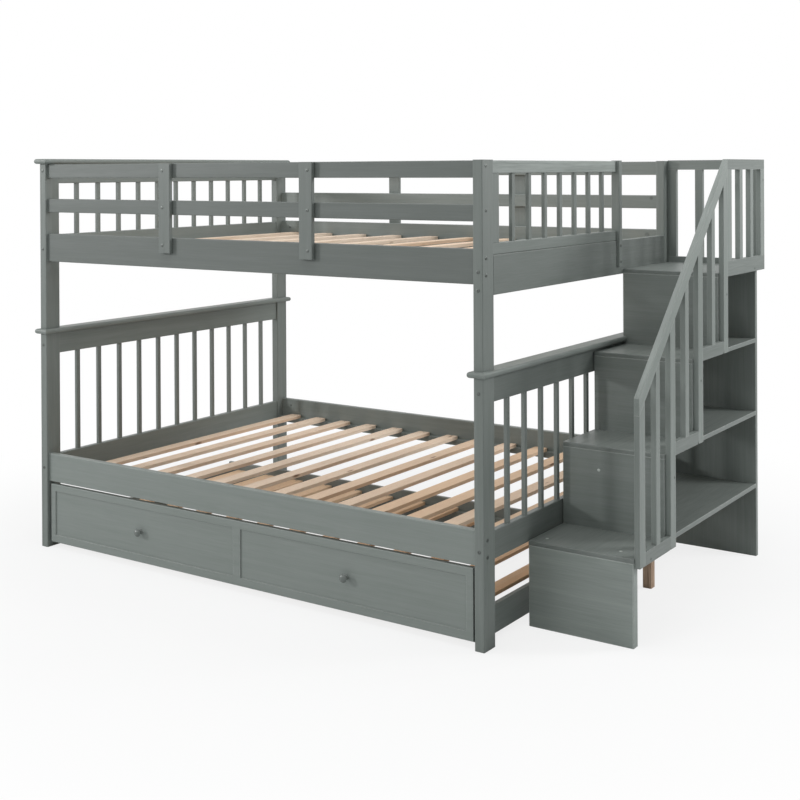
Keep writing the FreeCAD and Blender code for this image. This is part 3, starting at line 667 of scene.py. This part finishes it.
def socket_bolt(name: str, radius: float, proud: float, deep: float) -> bpy.types.Object:
    """Flat-headed bolt with a hexagon socket, its seat on the plane z = 0.

    Args:
        name: name of the new object.
        radius: radius of the head.
        proud: height of the head over its seat.
        deep: length of the stub of shank under the seat.

    Returns:
        The finished model.
    """
    head = round_blank(name, radius, 0.0, proud)
    soften_rim(head, proud, proud * BOLT_RIM_OF_HEIGHT)
    with editing(head):
        pick_faces(head, looks_down)
        bpy.ops.mesh.inset(thickness=radius * BOLT_SHOULDER, depth=0)
        bpy.ops.mesh.extrude_region_move(TRANSFORM_OT_translate={"value": (0, 0, -deep)})
    socket = round_blank("socket_cutter", radius * BOLT_SOCKET,
                         proud * BOLT_SOCKET_FLOOR_OF_HEIGHT, proud + radius, sides=6)
    cut_away(head, socket)
    return head


def cross_screw(name: str, radius: float, proud: float) -> bpy.types.Object:
    """Countersunk wood screw with a cross slot, lying just over the wood.

    Args:
        name: name of the new object.
        radius: radius of the head.
        proud: height of the head over the wood.

    Returns:
        The finished model.
    """
    head = round_blank(name, radius, -radius * SCREW_CONE, proud, sides=16)
    with editing(head):
        pick_faces(head, looks_down)
        bpy.ops.transform.resize(value=(SCREW_TIP, SCREW_TIP, 1))
    slot = (radius * SCREW_SLOT_LENGTH, radius * SCREW_SLOT_WIDTH,
            proud + radius * SCREW_SLOT_DEPTH)
    for turn in (0.0, math.radians(90)):
        cut_slot(head, proud, slot, turn)
    return head


def domed_cap(name: str, radius: float, rise: float) -> bpy.types.Object:
    """Low dome, as of a push-in screw cap or a riveted axle end, sunk half a millimetre.

    Args:
        name: name of the new object.
        radius: radius of the cap.
        rise: height of its middle over its seat.

    Returns:
        The finished model.
    """
    edge = rise * CAP_EDGE_OF_HEIGHT
    cap = round_blank(name, radius, -0.5 * MM, edge)
    with editing(cap):
        pick_faces(cap, top_face(edge))
        for inset, lift in CAP_RINGS:
            bpy.ops.mesh.inset(thickness=radius * inset, depth=rise * lift)
    return cap


def barrel_nut(name: str, radius: float, length: float) -> bpy.types.Object:
    """Cross dowel of a bolt: a short bar with a screwdriver slot, its face on the plane z = 0.

    Args:
        name: name of the new object.
        radius: radius of the bar.
        length: length of the bar.

    Returns:
        The finished model.
    """
    nut = round_blank(name, radius, -length, 0.0, sides=20)
    soften_rim(nut, 0.0, radius * NUT_RIM)
    long, wide, deep = NUT_SLOT
    cut_slot(nut, 0.0, (radius * long, radius * wide, radius * deep))
    return nut


def slat_ends(corners: tuple[Vector, Vector], count: int, half_width: float,
              inset: float) -> list[Place]:
    """Seats of the screws at both ends of each slat of a row.

    Args:
        corners: lowest and highest corner of the row.
        count: number of slats.
        half_width: half the width of a slat.
        inset: distance of a screw from the slat's end.

    Returns:
        The seats, slat by slat.
    """
    low, high = corners
    run = high.x - low.x - 2 * half_width
    places = []
    for number in range(count):
        x = low.x + half_width + number * run / (count - 1)
        for y in (low.y + inset, high.y - inset):
            places.append((Vector((x, y, high.z)), Facing.UP))
    return places


def set_out(model: bpy.types.Object, name: str, places: Iterable[Place]) -> bpy.types.Object:
    """Copy a fitting to all its places, each with its own mesh, and join the copies.

    Args:
        model: fitting that looks up from the origin; it is removed.
        name: name of the joined piece.
        places: where each copy goes and the way it looks.

    Returns:
        The joined piece, with its object at the origin.
    """
    copies = []
    for place, facing in places:
        copy = model.copy()
        copy.data = model.data.copy()
        turn = Vector((0, 0, 1)).rotation_difference(Vector(facing.value)).to_matrix().to_4x4()
        copy.data.transform(Matrix.Translation(place) @ turn)
        bpy.context.collection.objects.link(copy)
        copies.append(copy)
    bpy.data.objects.remove(model)
    select_only(copies[0])
    for copy in copies:
        copy.select_set(True)
    if len(copies) > 1:
        bpy.ops.object.join()
    piece = bpy.context.active_object
    piece.name = name
    piece.data.name = name
    bpy.ops.object.shade_smooth_by_angle(angle=SMOOTH_UNDER)
    return piece


def hand_over(piece: bpy.types.Object, body: str, material: bpy.types.Material) -> None:
    """Give a finished piece its material and the body that it rides on.

    Args:
        piece: finished piece.
        body: name of the body.
        material: finish of the whole piece.
    """
    piece.data.materials.clear()
    piece.data.materials.append(material)
    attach(piece, body)
    LOG.info("made %s, %d faces", piece.name, len(piece.data.polygons))


# ---------------------------------------------------------------------------------------------
# Finishes of the solids
# ---------------------------------------------------------------------------------------------

Finish = GreyPaintedPine | SawnPine | BrownStainedPine | ZincPlatedSteel | MouldedPlastic


class Workshop:
    """Keeps the finishes, each built once, and dresses the solids of the frame."""

    def __init__(self, frame: dict[str, Any]) -> None:
        """Remember the frame.

        Args:
            frame: what the frame's load returned.
        """
        self.nodes: dict[str, bpy.types.Object] = frame["nodes"]
        self.made: dict[str, bpy.types.Material] = {}

    def finish(self, kind: Finish) -> bpy.types.Material:
        """Material of a finish, built at its first use.

        Args:
            kind: finish that is asked for.

        Returns:
            Its material.
        """
        if kind.name not in self.made:
            self.made[kind.name] = kind.material()
        return self.made[kind.name]

    def dress(self, names: Iterable[str], kind: Finish) -> None:
        """Give solids of the frame one finish.

        Args:
            names: node names.
            kind: finish for all of them.
        """
        material = self.finish(kind)
        for name in names:
            node = self.nodes[name]
            if not node.material_slots:
                node.data.materials.append(material)
            for slot in node.material_slots:
                slot.material = material
            LOG.info("dressed %s in %s", name, kind.name)


ENDS = ("lower_left_end", "lower_right_end", "upper_left_end", "upper_right_end")
STAIR_ARRIS_AND_HIGHLIGHT = "#c6cbc8"           # the stairs' edges are paler than the bed's: a painted highlight where they catch the light, with some wear
PAINT_ALONG = GreyPaintedPine("paint_along_bed", Grain.ALONG_BED)
PAINT_ACROSS = GreyPaintedPine("paint_across_bed", Grain.ACROSS_BED)
# The factors of these finishes, and of those in the dress methods below, are painted light and
# shade: boards that get more light are drawn lighter, boards in shade darker.
PAINT_UPRIGHT = GreyPaintedPine("paint_upright", Grain.UPRIGHT, painted_light=0.94)
PAINT_LOW_FRONT = GreyPaintedPine("paint_low_front", Grain.ALONG_BED, hollow="#777e7a",
                                  painted_light=1.11)
PAINT_HIGH_FRONT = GreyPaintedPine("paint_high_front", Grain.ALONG_BED, painted_light=0.69)
BRIGHT_ZINC = ZincPlatedSteel()
# darker zinc for the bolts and nuts: partly dark plating, partly painted shade of the recesses
# they sit in
SHADED_ZINC = ZincPlatedSteel("shaded_zinc_steel", "#7a7e7b", "#545856", 0.42)


@dataclass
class BedFrame:
    """Posts, end panels, side rails and slats of both bunks."""

    length_mm: float = BED_LENGTH_MM
    width_mm: float = BED_WIDTH_MM
    post_mm: float = 34.0
    rails_mm: tuple[tuple[float, float], ...] = ((256.0, 108.0), (1110.0, 108.0))  # bottom, height
    rail_bolt_edge_mm: float = 28.0       # from the rail's upper and lower edge
    rail_bolt_face_mm: float = 21.0       # from the outer face of the bed
    rail_nut_face_mm: float = 32.5        # the nuts stand 0.3 mm over the rail's inner face
    nut_reach_mm: float = 52.0            # from the post to the nut
    end_bolt_inset_mm: float = 16.5       # from the outer face of the end
    left_end_bolts_mm: tuple[float, ...] = (308.0, 785.0, 1158.0, 1462.0)
    right_end_bolts_mm: tuple[float, ...] = (302.0, 781.0, 1093.0, 1149.0)
    bolt_mm: tuple[float, float, float] = (5.6, 1.4, 9.0)   # radius, height of the head, stub
    nut_mm: tuple[float, float] = (6.4, 12.0)               # radius and length
    slat_screw_mm: tuple[float, float] = (3.6, 0.25)        # radius and height over the slat
    slat_rows: tuple[tuple[str, int], ...] = (("lower_slats", 13), ("upper_slats", 10))
    slat_half: float = 0.028
    slat_screw_inset: float = 0.011
    lower_pitch_mm: float = 146.0
    upper_pitch_mm: float = 194.7

    def dress(self, shop: Workshop) -> None:
        """Paint the frame and leave the slats raw.

        Args:
            shop: keeper of the finishes.
        """
        shop.dress([f"{level}_{end}_posts" for level in ("lower", "upper")
                    for end in ("left", "right")], PAINT_UPRIGHT)
        shop.dress([end + "_spindles" for end in ENDS], PAINT_UPRIGHT)
        across = [end + part for end in ENDS for part in ("_bottom_rail", "_top_rail")]
        across += [end + "_cap" for end in ENDS[:3]]
        # painted shade: the lower right end rails are drawn darker where the stairs keep the light
        # off them
        shaded_rails = ["lower_right_end_bottom_rail", "lower_right_end_top_rail"]
        # the open top rail's paler paint is partly painted light where the right lamp catches it,
        # partly its wild grain
        wild_and_lit = ["upper_right_end_top_rail"]
        shop.dress([name for name in across if name not in shaded_rails + wild_and_lit], PAINT_ACROSS)
        shop.dress(shaded_rails, GreyPaintedPine("paint_across_shaded", Grain.ACROSS_BED, painted_light=0.77))
        shop.dress(wild_and_lit, GreyPaintedPine("paint_wild_grain_lit", Grain.ACROSS_BED, "#8d9390",
                                         "#6c736f", painted_light=1.25, band_mm=9.0,
                                         band_length_mm=420.0))
        shop.dress(["lower_side_rail_front"], PAINT_LOW_FRONT)
        shop.dress(["upper_side_rail_front"], PAINT_HIGH_FRONT)
        shop.dress(["lower_side_rail_rear"], PAINT_ALONG)
        knotty = GreyPaintedPine("paint_along_bed_knotty", Grain.ALONG_BED,
                                 spots=(Spot(1913.5, 1428.0, 1196.0, 12.0),
                                        Spot(1120.0, 1428.0, 1150.0, 10.0)))
        shop.dress(["upper_side_rail_rear"], knotty)
        shop.dress(["lower_slats"],
                   SawnPine("pine_lower_slats", Grain.ACROSS_BED, self.lower_pitch_mm))
        shop.dress(["upper_slats"],
                   SawnPine("pine_upper_slats", Grain.ACROSS_BED, self.upper_pitch_mm))
        shop.dress(["lower_slat_ledgers", "upper_slat_ledgers"], PAINT_ALONG)
        # The dowels are hidden in the posts, and a pitch longer than the bed gives them one tone.
        shop.dress(["post_dowels"], SawnPine("pine_dowels", Grain.UPRIGHT, 2600.0))

    def rail_bolt_heights(self) -> list[float]:
        """Heights of the two bolts in each side rail.

        Returns:
            The heights in millimetres, from the lowest up.
        """
        edge = self.rail_bolt_edge_mm
        return [z for bottom, height in self.rails_mm
                for z in (bottom + edge, bottom + height - edge)]

    def side_rail_places(self) -> list[Place]:
        """Seats of the bolts that run through the posts into the side rails.

        Returns:
            The seats.
        """
        places = []
        for z in self.rail_bolt_heights():
            for y in (self.rail_bolt_face_mm, self.width_mm - self.rail_bolt_face_mm):
                places.append((bed(0, y, z), Facing.LEFT))
                places.append((bed(self.length_mm, y, z), Facing.RIGHT))
        return places

    def end_rail_places(self) -> list[Place]:
        """Seats of the bolts that run through the posts into the end rails.

        Returns:
            The seats.
        """
        places = []
        for x, levels in ((self.end_bolt_inset_mm, self.left_end_bolts_mm),
                          (self.length_mm - self.end_bolt_inset_mm, self.right_end_bolts_mm)):
            for z in levels:
                places.append((bed(x, 0, z), Facing.FRONT))
                places.append((bed(x, self.width_mm, z), Facing.BACK))
        return places

    def nut_places(self) -> list[Place]:
        """Faces of the barrel nuts, just over the inner faces of the side rails.

        Returns:
            The places of their faces.
        """
        places = []
        reach = self.post_mm + self.nut_reach_mm
        for z in self.rail_bolt_heights():
            for x in (reach, self.length_mm - reach):
                places.append((bed(x, self.rail_nut_face_mm, z), Facing.BACK))
                places.append((bed(x, self.width_mm - self.rail_nut_face_mm, z), Facing.FRONT))
        return places

    def slat_screw_places(self) -> list[Place]:
        """Seats of the screws of both rows of slats, over the ledgers.

        Returns:
            The seats.
        """
        places = []
        for node, count in self.slat_rows:
            places += slat_ends(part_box(node), count, self.slat_half, self.slat_screw_inset)
        return places

    def build(self, shop: Workshop) -> None:
        """Make the bolts, nuts and slat screws.

        Args:
            shop: keeper of the finishes.
        """
        zinc = shop.finish(BRIGHT_ZINC)
        shade_metal = shop.finish(SHADED_ZINC)
        for name, places in (("side_rail_socket_bolts", self.side_rail_places()),
                             ("end_rail_socket_bolts", self.end_rail_places())):
            bolt = socket_bolt("bolt", *(size * MM for size in self.bolt_mm))
            hand_over(set_out(bolt, name, places), "frame", shade_metal)
        nut = barrel_nut("nut", *(size * MM for size in self.nut_mm))
        hand_over(set_out(nut, "barrel_nuts", self.nut_places()), "frame", shade_metal)
        screw = cross_screw("screw", *(size * MM for size in self.slat_screw_mm))
        hand_over(set_out(screw, "slat_screws", self.slat_screw_places()), "frame", zinc)


@dataclass
class UpperGuards:
    """Two-rail guards with their supports, and the open end beside the stairs."""

    length_mm: float = BED_LENGTH_MM
    width_mm: float = BED_WIDTH_MM
    support_x_mm: tuple[float, float] = (667.0, 1333.0)
    support_z_mm: tuple[float, float, float] = (1192.0, 1327.0, 1460.0)
    support_proud_mm: float = 6.0         # the supports' faces over the bed's
    rail_bolt_z_mm: tuple[float, float] = (1335.0, 1470.0)
    rail_bolt_face_mm: float = 22.0
    entry_bolt_z_mm: tuple[float, float] = (1122.0, 1180.0)
    entry_post_y_mm: float = 966.0
    entry_post_proud_mm: float = 11.0     # its outer face over the end of the bed
    bolt_mm: tuple[float, float, float] = (5.4, 1.2, 8.0)   # radius, height of the head, stub

    def dress(self, shop: Workshop) -> None:
        """Paint the guards.

        Args:
            shop: keeper of the finishes.
        """
        shop.dress(["front_guard_rails"], PAINT_HIGH_FRONT)
        knotty = GreyPaintedPine("paint_along_guard_knotty", Grain.ALONG_BED,
                                 spots=(Spot(1931.0, 1430.0, 1342.0, 9.0),
                                        Spot(420.0, 1430.0, 1455.0, 8.0)))
        shop.dress(["rear_guard_rails"], knotty)
        # painted shade: the supports and the sill board below are drawn darker than the plain
        # paint
        shop.dress(["front_guard_supports"],
                   GreyPaintedPine("paint_supports", Grain.UPRIGHT, painted_light=0.82))
        shop.dress(["rear_guard_supports", "entry_post"], PAINT_UPRIGHT)
        shop.dress(["upper_right_sill_board"],
                   GreyPaintedPine("paint_sill", Grain.ACROSS_BED, painted_light=0.86))

    def bolt_places(self) -> list[Place]:
        """Seats of the bolts of the guards and of the entry post.

        Returns:
            The seats.
        """
        places = []
        for x in self.support_x_mm:
            for z in self.support_z_mm:
                places.append((bed(x, -self.support_proud_mm, z), Facing.FRONT))
                places.append((bed(x, self.width_mm + self.support_proud_mm, z), Facing.BACK))
        for z in self.rail_bolt_z_mm:
            for y in (self.rail_bolt_face_mm, self.width_mm - self.rail_bolt_face_mm):
                places.append((bed(0, y, z), Facing.LEFT))
                places.append((bed(self.length_mm, y, z), Facing.RIGHT))
        entry_x = self.length_mm + self.entry_post_proud_mm
        for z in self.entry_bolt_z_mm:
            places.append((bed(entry_x, self.entry_post_y_mm, z), Facing.RIGHT))
        return places

    def build(self, shop: Workshop) -> None:
        """Make the bolts.

        Args:
            shop: keeper of the finishes.
        """
        bolt = socket_bolt("guard_bolt", *(size * MM for size in self.bolt_mm))
        bolts = set_out(bolt, "guard_socket_bolts", self.bolt_places())
        hand_over(bolts, "frame", shop.finish(SHADED_ZINC))


@dataclass
class StorageStairs:
    """Boxed stairs with shelves, their stepped railing and the guards of the platform."""

    tread_caps_mm: tuple[tuple[float, float], ...] = ((2040.0, 330.0), (2294.0, 334.0))
    tread_top_mm: float = 273.0
    riser_cap_mm: tuple[float, float, float] = (2131.0, 522.0, 467.0)
    cap_mm: tuple[float, float] = (5.0, 1.6)      # radius and height
    railing_face_x_mm: float = 2378.0
    screw_hole_shade_mm: float = 5.5                    # radius of the painted shade of its hole
    feet_screws_mm: tuple[tuple[float, float], ...] = ((371.0, 254.0), (1341.0, 1086.0))
    stile_screws_mm: tuple[tuple[float, float], ...] = ((562.0, 467.0), (796.0, 745.0),
                                                        (1045.0, 1015.0), (1438.0, 1414.0))

    def sunk_screw_shadows(self, places_mm: Iterable[tuple[float, float]]) -> tuple[Spot, ...]:
        """Painted shade of the sunk screws' holes in the outer face of the railing.

        Args:
            places_mm: distance from the front of the bed and height of each.

        Returns:
            Dark round spots in the paint: painted shade of the screw holes, which are not
                modelled.
        """
        return tuple(Spot(self.railing_face_x_mm, y, z, self.screw_hole_shade_mm, "#343936", 0.9)
                     for y, z in places_mm)

    def dress(self, shop: Workshop) -> None:
        """Paint the stairs and stain the centre leg.

        Args:
            shop: keeper of the finishes.
        """
        # The factors on the stairs' finishes are painted light and shade.
        # The stairs' paler, wider arrises are a painted highlight with some wear.
        shop.dress(["stair_front_panel"],
                   GreyPaintedPine("paint_stair_panel", Grain.ALONG_BED, arris_and_highlight=STAIR_ARRIS_AND_HIGHLIGHT,
                                   painted_light=1.42, worn_lit_edge_mm=4.0))
        shop.dress(["platform_rear_guard_rails"], PAINT_ALONG)
        shop.dress(["stair_risers"],
                   GreyPaintedPine("paint_risers", Grain.ALONG_BED, arris_and_highlight=STAIR_ARRIS_AND_HIGHLIGHT, painted_light=1.02,
                                   worn_lit_edge_mm=3.6))
        shop.dress(["stair_treads", "stair_platform"],
                   GreyPaintedPine("paint_treads", Grain.ACROSS_BED, arris_and_highlight=STAIR_ARRIS_AND_HIGHLIGHT, painted_light=0.88,
                                   worn_lit_edge_mm=3.6))
        shop.dress(["stair_rear_panel", "platform_rear_guard_uprights"], PAINT_UPRIGHT)
        shop.dress(["stair_railing_bottom_rails", "platform_side_guard_rails"],
                   GreyPaintedPine("paint_railing_feet", Grain.ACROSS_BED, painted_light=0.87,
                                   spots=self.sunk_screw_shadows(self.feet_screws_mm)))
        shop.dress(["stair_railing_uprights", "platform_side_guard_uprights"],
                   GreyPaintedPine("paint_railing_stiles", Grain.UPRIGHT, painted_light=1.1,
                                   spots=self.sunk_screw_shadows(self.stile_screws_mm)))
        shop.dress(["stair_handrail"], GreyPaintedPine("paint_handrail", Grain.HANDRAIL, painted_light=1.2))
        shop.dress(["stair_centre_leg"], BrownStainedPine())

    def build(self, shop: Workshop) -> None:
        """Make the screw caps of the lowest tread and of the riser over it.

        Args:
            shop: keeper of the finishes.
        """
        places = [(bed(x, y, self.tread_top_mm), Facing.UP) for x, y in self.tread_caps_mm]
        places.append((bed(*self.riser_cap_mm), Facing.FRONT))
        cap = domed_cap("cap", *(size * MM for size in self.cap_mm))
        caps = set_out(cap, "tread_screw_caps", places)
        pale = MouldedPlastic("pale_cap_plastic", "#c4cac6", "#a9b0ab", 0.4)
        hand_over(caps, "frame", shop.finish(pale))


@dataclass
class Trundle:
    """Rolling trundle with its two-drawer front, slats, knobs and casters."""

    slat_count: int = 12
    slat_half: float = 0.027
    slat_pitch_mm: float = 155.0
    slat_screw_mm: tuple[float, float] = (3.6, 0.25)   # radius and height over the slat
    slat_screw_inset: float = 0.010
    tread_round_mm: float = 2.4           # rounding of the wheel's tread
    tread_wall_mm: float = 2.0            # flat ring inside that rounding
    web_sunk_mm: float = 2.2              # depth of the web under the ring, on each side
    web_slope_mm: tuple[float, float] = (0.8, 0.6)     # draft at the ring and at the hub
    web_mm: float = 8.2                   # width of the web between them
    bore_mm: float = 3.08                 # radius of the bore, with play for the axle
    rivet_mm: tuple[float, float] = (4.5, 1.8)         # radius and height
    rivet_reach_mm: float = 3.5           # from the wheel's face to the outer face of its fork
    corners: tuple[tuple[str, str], ...] = (("front", "left"), ("front", "right"),
                                            ("rear", "left"), ("rear", "right"))

    def dress(self, shop: Workshop) -> None:
        """Paint the boards, leave the slats raw and plate the casters.

        Args:
            shop: keeper of the finishes.
        """
        shop.dress(["trundle_front"], PAINT_LOW_FRONT)
        shop.dress(["trundle_rear"], PAINT_ALONG)
        # painted shade: the knobs are drawn darker than the plain paint
        shop.dress(["trundle_knobs"],
                   GreyPaintedPine("paint_knobs", Grain.ACROSS_BED, painted_light=0.8, worn_lit_edge_mm=0.5,
                                   gloss=(0.30, 0.20)))
        shop.dress(["trundle_sides"], PAINT_ACROSS)
        shop.dress(["trundle_slats"],
                   SawnPine("pine_trundle_slats", Grain.ACROSS_BED, self.slat_pitch_mm,
                            "#fbe0c2", "#f5c89b"))
        shop.dress(["trundle_ledgers"], PAINT_ALONG)
        shop.dress(["caster_forks"], BRIGHT_ZINC)

    def build(self, shop: Workshop) -> None:
        """Make the slat screws, the wheels and the riveted ends of their axles.

        Args:
            shop: keeper of the finishes.
        """
        places = slat_ends(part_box("trundle_slats"), self.slat_count, self.slat_half,
                           self.slat_screw_inset)
        screw = cross_screw("trundle_screw", *(size * MM for size in self.slat_screw_mm))
        screws = set_out(screw, "trundle_slat_screws", places)
        hand_over(screws, "trundle", shop.finish(BRIGHT_ZINC))
        self.wheels(shop)
        self.axle_rivets(shop)

    def wheel_model(self, radius: float, width: float) -> bpy.types.Object:
        """Moulded wheel with a rounded tread, a sunk web, a hub and an axle bore, along Z.

        Args:
            radius: radius over the tread.
            width: width of the tread.

        Returns:
            The finished model, centred on the origin.
        """
        wheel = round_blank("wheel", radius, -width / 2, width / 2, sides=48)
        rings_mm = ((self.tread_wall_mm, 0), (self.web_slope_mm[0], -self.web_sunk_mm),
                    (self.web_mm, 0), (self.web_slope_mm[1], self.web_sunk_mm))
        for height in (width / 2, -width / 2):
            def side_face(face: bmesh.types.BMFace, level: float = height) -> bool:
                """Whether a face lies in this side of the wheel."""
                return abs(face.calc_center_median().z - level) < SAME_PLACE

            with editing(wheel):
                pick_faces(wheel, side_face)
                bpy.ops.mesh.region_to_loop()
                bpy.ops.mesh.bevel(offset=self.tread_round_mm * MM, segments=3, affect="EDGES")
                pick_faces(wheel, side_face)
                for inset, lift in rings_mm:
                    bpy.ops.mesh.inset(thickness=inset * MM, depth=lift * MM)
        cut_away(wheel, round_blank("bore_cutter", self.bore_mm * MM, -width, width))
        return wheel

    def wheels(self, shop: Workshop) -> None:
        """Make the four moulded wheels, each on its own body.

        Args:
            shop: keeper of the finishes.
        """
        grey = MouldedPlastic("grey_wheel_plastic", "#aeb2af", "#969b98", 0.45)
        for place, side in self.corners:
            node = f"caster_wheel_{place}_{side}"
            low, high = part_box(node)
            model = self.wheel_model((high.z - low.z) / 2, high.x - low.x)
            wheel = set_out(model, f"moulded_wheel_{place}_{side}",
                            [((low + high) / 2, Facing.RIGHT)])
            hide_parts(node)
            hand_over(wheel, f"wheel_{place}_{side}", shop.finish(grey))

    def axle_rivets(self, shop: Workshop) -> None:
        """Make the riveted ends of the axles, on the forks.

        Args:
            shop: keeper of the finishes.
        """
        places = []
        for place, side in self.corners:
            low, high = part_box(f"caster_wheel_{place}_{side}")
            middle = (low + high) / 2
            inner = Facing.RIGHT if side == "left" else Facing.LEFT
            reach = (high.x - low.x) / 2 + self.rivet_reach_mm * MM
            places.append((middle + Vector(inner.value) * reach, inner))
        rivet = domed_cap("rivet", *(size * MM for size in self.rivet_mm))
        rivets = set_out(rivet, "axle_rivets", places)
        hand_over(rivets, "trundle", shop.finish(BRIGHT_ZINC))


# ---------------------------------------------------------------------------------------------
# Studio
# ---------------------------------------------------------------------------------------------

@dataclass(frozen=True)
class Lamp:
    """Square softbox with its place, the point that it is turned to, its width and its power."""

    name: str
    place: tuple[float, float, float]
    aim: tuple[float, float, float]
    size: float
    watts: float

    def hang(self) -> None:
        """Put the softbox in the scene."""
        data = bpy.data.lights.new(self.name, "AREA")
        data.shape = "SQUARE"
        data.size = self.size
        data.energy = self.watts
        lamp = bpy.data.objects.new(self.name, data)
        way = Vector(self.aim) - Vector(self.place)
        lamp.matrix_world = (Matrix.Translation(Vector(self.place))
                             @ way.to_track_quat("-Z", "Y").to_matrix().to_4x4())
        bpy.context.scene.collection.objects.link(lamp)


@dataclass
class Studio:
    """White floor, soft lamps and the camera."""

    picture_pixels: float = 800.0
    focal_pixels: float = 1272.0
    sensor_mm: float = 36.0
    yaw: float = 34.35            # degrees, to the left
    pitch: float = -0.20          # degrees, up
    roll: float = -0.29           # degrees
    eye_mm: tuple[float, float, float] = (3956.0, -3300.0, 1459.0)
    horizon_pixel: float = 174.3  # height of the level line of sight, from the picture's top
    clip: tuple[float, float] = (0.05, 100.0)
    floor_size: float = 60.0
    floor_drop: float = 0.0005    # keeps the floor clear of the feet
    paper: str = "#e9eaea"
    white_share: tuple[float, float] = (0.80, 1.0)   # of pure white near the bed and further out
    white_reach: tuple[float, float] = (1.2, 2.6)    # where those two shares hold
    ambient: float = 0.40         # strength of the even light of the room
    room: str = "#f4f7f6"
    lamps: tuple[Lamp, ...] = (
        Lamp("left_softbox", (-6.0, -4.9, 2.9), (0.0, 0.0, 0.8), 0.9, 200.0),
        Lamp("front_softbox", (-1.0, -5.4, 3.4), (0.0, 0.0, 0.7), 1.6, 31.0),
        Lamp("right_softbox", (3.6, 1.9, 2.4), (0.8, 0.0, 0.9), 1.2, 74.0),
        Lamp("top_softbox", (0.3, -0.8, 4.6), (0.0, 0.0, 0.5), 3.0, 84.0),
    )

    def camera(self) -> None:
        """Stand the camera where the photograph was taken."""
        yaw, pitch, roll = (math.radians(a) for a in (self.yaw, self.pitch, self.roll))
        level = Vector((-math.sin(yaw), math.cos(yaw), 0))
        side = Vector((math.cos(yaw), math.sin(yaw), 0))
        ahead = math.cos(pitch) * level + math.sin(pitch) * Vector((0, 0, 1))
        above = -math.sin(pitch) * level + math.cos(pitch) * Vector((0, 0, 1))
        right = math.cos(roll) * side + math.sin(roll) * above
        top = -math.sin(roll) * side + math.cos(roll) * above
        data = bpy.data.cameras.new("camera")
        data.sensor_width = self.sensor_mm
        data.lens = self.sensor_mm * self.focal_pixels / self.picture_pixels
        data.shift_y = (self.horizon_pixel - self.picture_pixels / 2) / self.picture_pixels
        data.clip_start, data.clip_end = self.clip
        camera = bpy.data.objects.new("camera", data)
        turn = Matrix((right, top, -ahead)).transposed().to_4x4()
        camera.matrix_world = Matrix.Translation(bed(*self.eye_mm)) @ turn
        bpy.context.scene.collection.objects.link(camera)
        bpy.context.scene.camera = camera

    def floor(self) -> None:
        """Lay the white paper floor: it keeps the shadow and turns pure white further out."""
        select_only(None)
        bpy.ops.mesh.primitive_plane_add(size=self.floor_size, location=(0, 0, -self.floor_drop))
        floor = bpy.context.active_object
        floor.name = "paper_floor"
        bpy.ops.object.transform_apply(location=True, rotation=True, scale=True)
        material, tree = empty_material("white_paper")
        coords = add_node(tree, "ShaderNodeTexCoord")
        reach = add_node(tree, "ShaderNodeVectorMath", {"operation": "LENGTH"},
                         {0: coords.outputs["Object"]})
        outer = add_node(tree, "ShaderNodeMapRange", {"interpolation_type": "SMOOTHSTEP"},
                         {"Value": reach.outputs["Value"], "From Min": self.white_reach[0],
                          "From Max": self.white_reach[1], "To Min": self.white_share[0],
                          "To Max": self.white_share[1]})
        rays = add_node(tree, "ShaderNodeLightPath")
        seen = add_node(tree, "ShaderNodeMath", {"operation": "ADD", "use_clamp": True},
                        {0: rays.outputs["Is Camera Ray"], 1: rays.outputs["Is Transmission Ray"]})
        share = add_node(tree, "ShaderNodeMath", {"operation": "MULTIPLY"},
                         {0: seen.outputs[0], 1: outer.outputs[0]})
        paper = add_node(tree, "ShaderNodeBsdfDiffuse", None, {"Color": linear(self.paper)})
        white = add_node(tree, "ShaderNodeEmission", None,
                         {"Color": linear("#ffffff"), "Strength": 1.0})
        mixed = add_node(tree, "ShaderNodeMixShader", None,
                         {0: share.outputs[0], 1: paper.outputs[0], 2: white.outputs[0]})
        add_node(tree, "ShaderNodeOutputMaterial", None, {"Surface": mixed.outputs[0]})
        floor.data.materials.append(material)

    def world(self) -> None:
        """Fill the room with an even grey light, and show a white backdrop.

        The camera, metal and glass see the backdrop, and all else is lit by the grey light.
        """
        world = bpy.data.worlds.new("studio_world")
        world.use_nodes = True
        tree = world.node_tree
        tree.nodes.clear()
        rays = add_node(tree, "ShaderNodeLightPath")
        seen = add_node(tree, "ShaderNodeMath", {"operation": "ADD", "use_clamp": True},
                        {0: rays.outputs["Is Camera Ray"], 1: rays.outputs["Is Transmission Ray"]})
        seen = add_node(tree, "ShaderNodeMath", {"operation": "ADD", "use_clamp": True},
                        {0: seen.outputs[0], 1: rays.outputs["Is Glossy Ray"]})
        room = add_node(tree, "ShaderNodeBackground", None,
                        {"Color": linear(self.room), "Strength": self.ambient})
        white = add_node(tree, "ShaderNodeBackground", None,
                         {"Color": linear("#ffffff"), "Strength": 1.0})
        mixed = add_node(tree, "ShaderNodeMixShader", None,
                         {0: seen.outputs[0], 1: room.outputs[0], 2: white.outputs[0]})
        add_node(tree, "ShaderNodeOutputWorld", None, {"Surface": mixed.outputs[0]})
        bpy.context.scene.world = world

    def build(self) -> None:
        """Set up the floor, the light and the camera."""
        self.camera()
        self.floor()
        self.world()
        for lamp in self.lamps:
            lamp.hang()
        bpy.context.scene.view_settings.view_transform = "Standard"


def main() -> None:
    """Load the frame, dress it and build what it lacks."""
    logging.basicConfig(level=logging.INFO, format="%(name)s: %(message)s")
    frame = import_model()
    select_only(None)
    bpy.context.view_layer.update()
    Studio().build()
    shop = Workshop(frame)
    for part in (BedFrame(), UpperGuards(), StorageStairs(), Trundle()):
        part.dress(shop)
        part.build(shop)


if __name__ == "__main__":
    main()
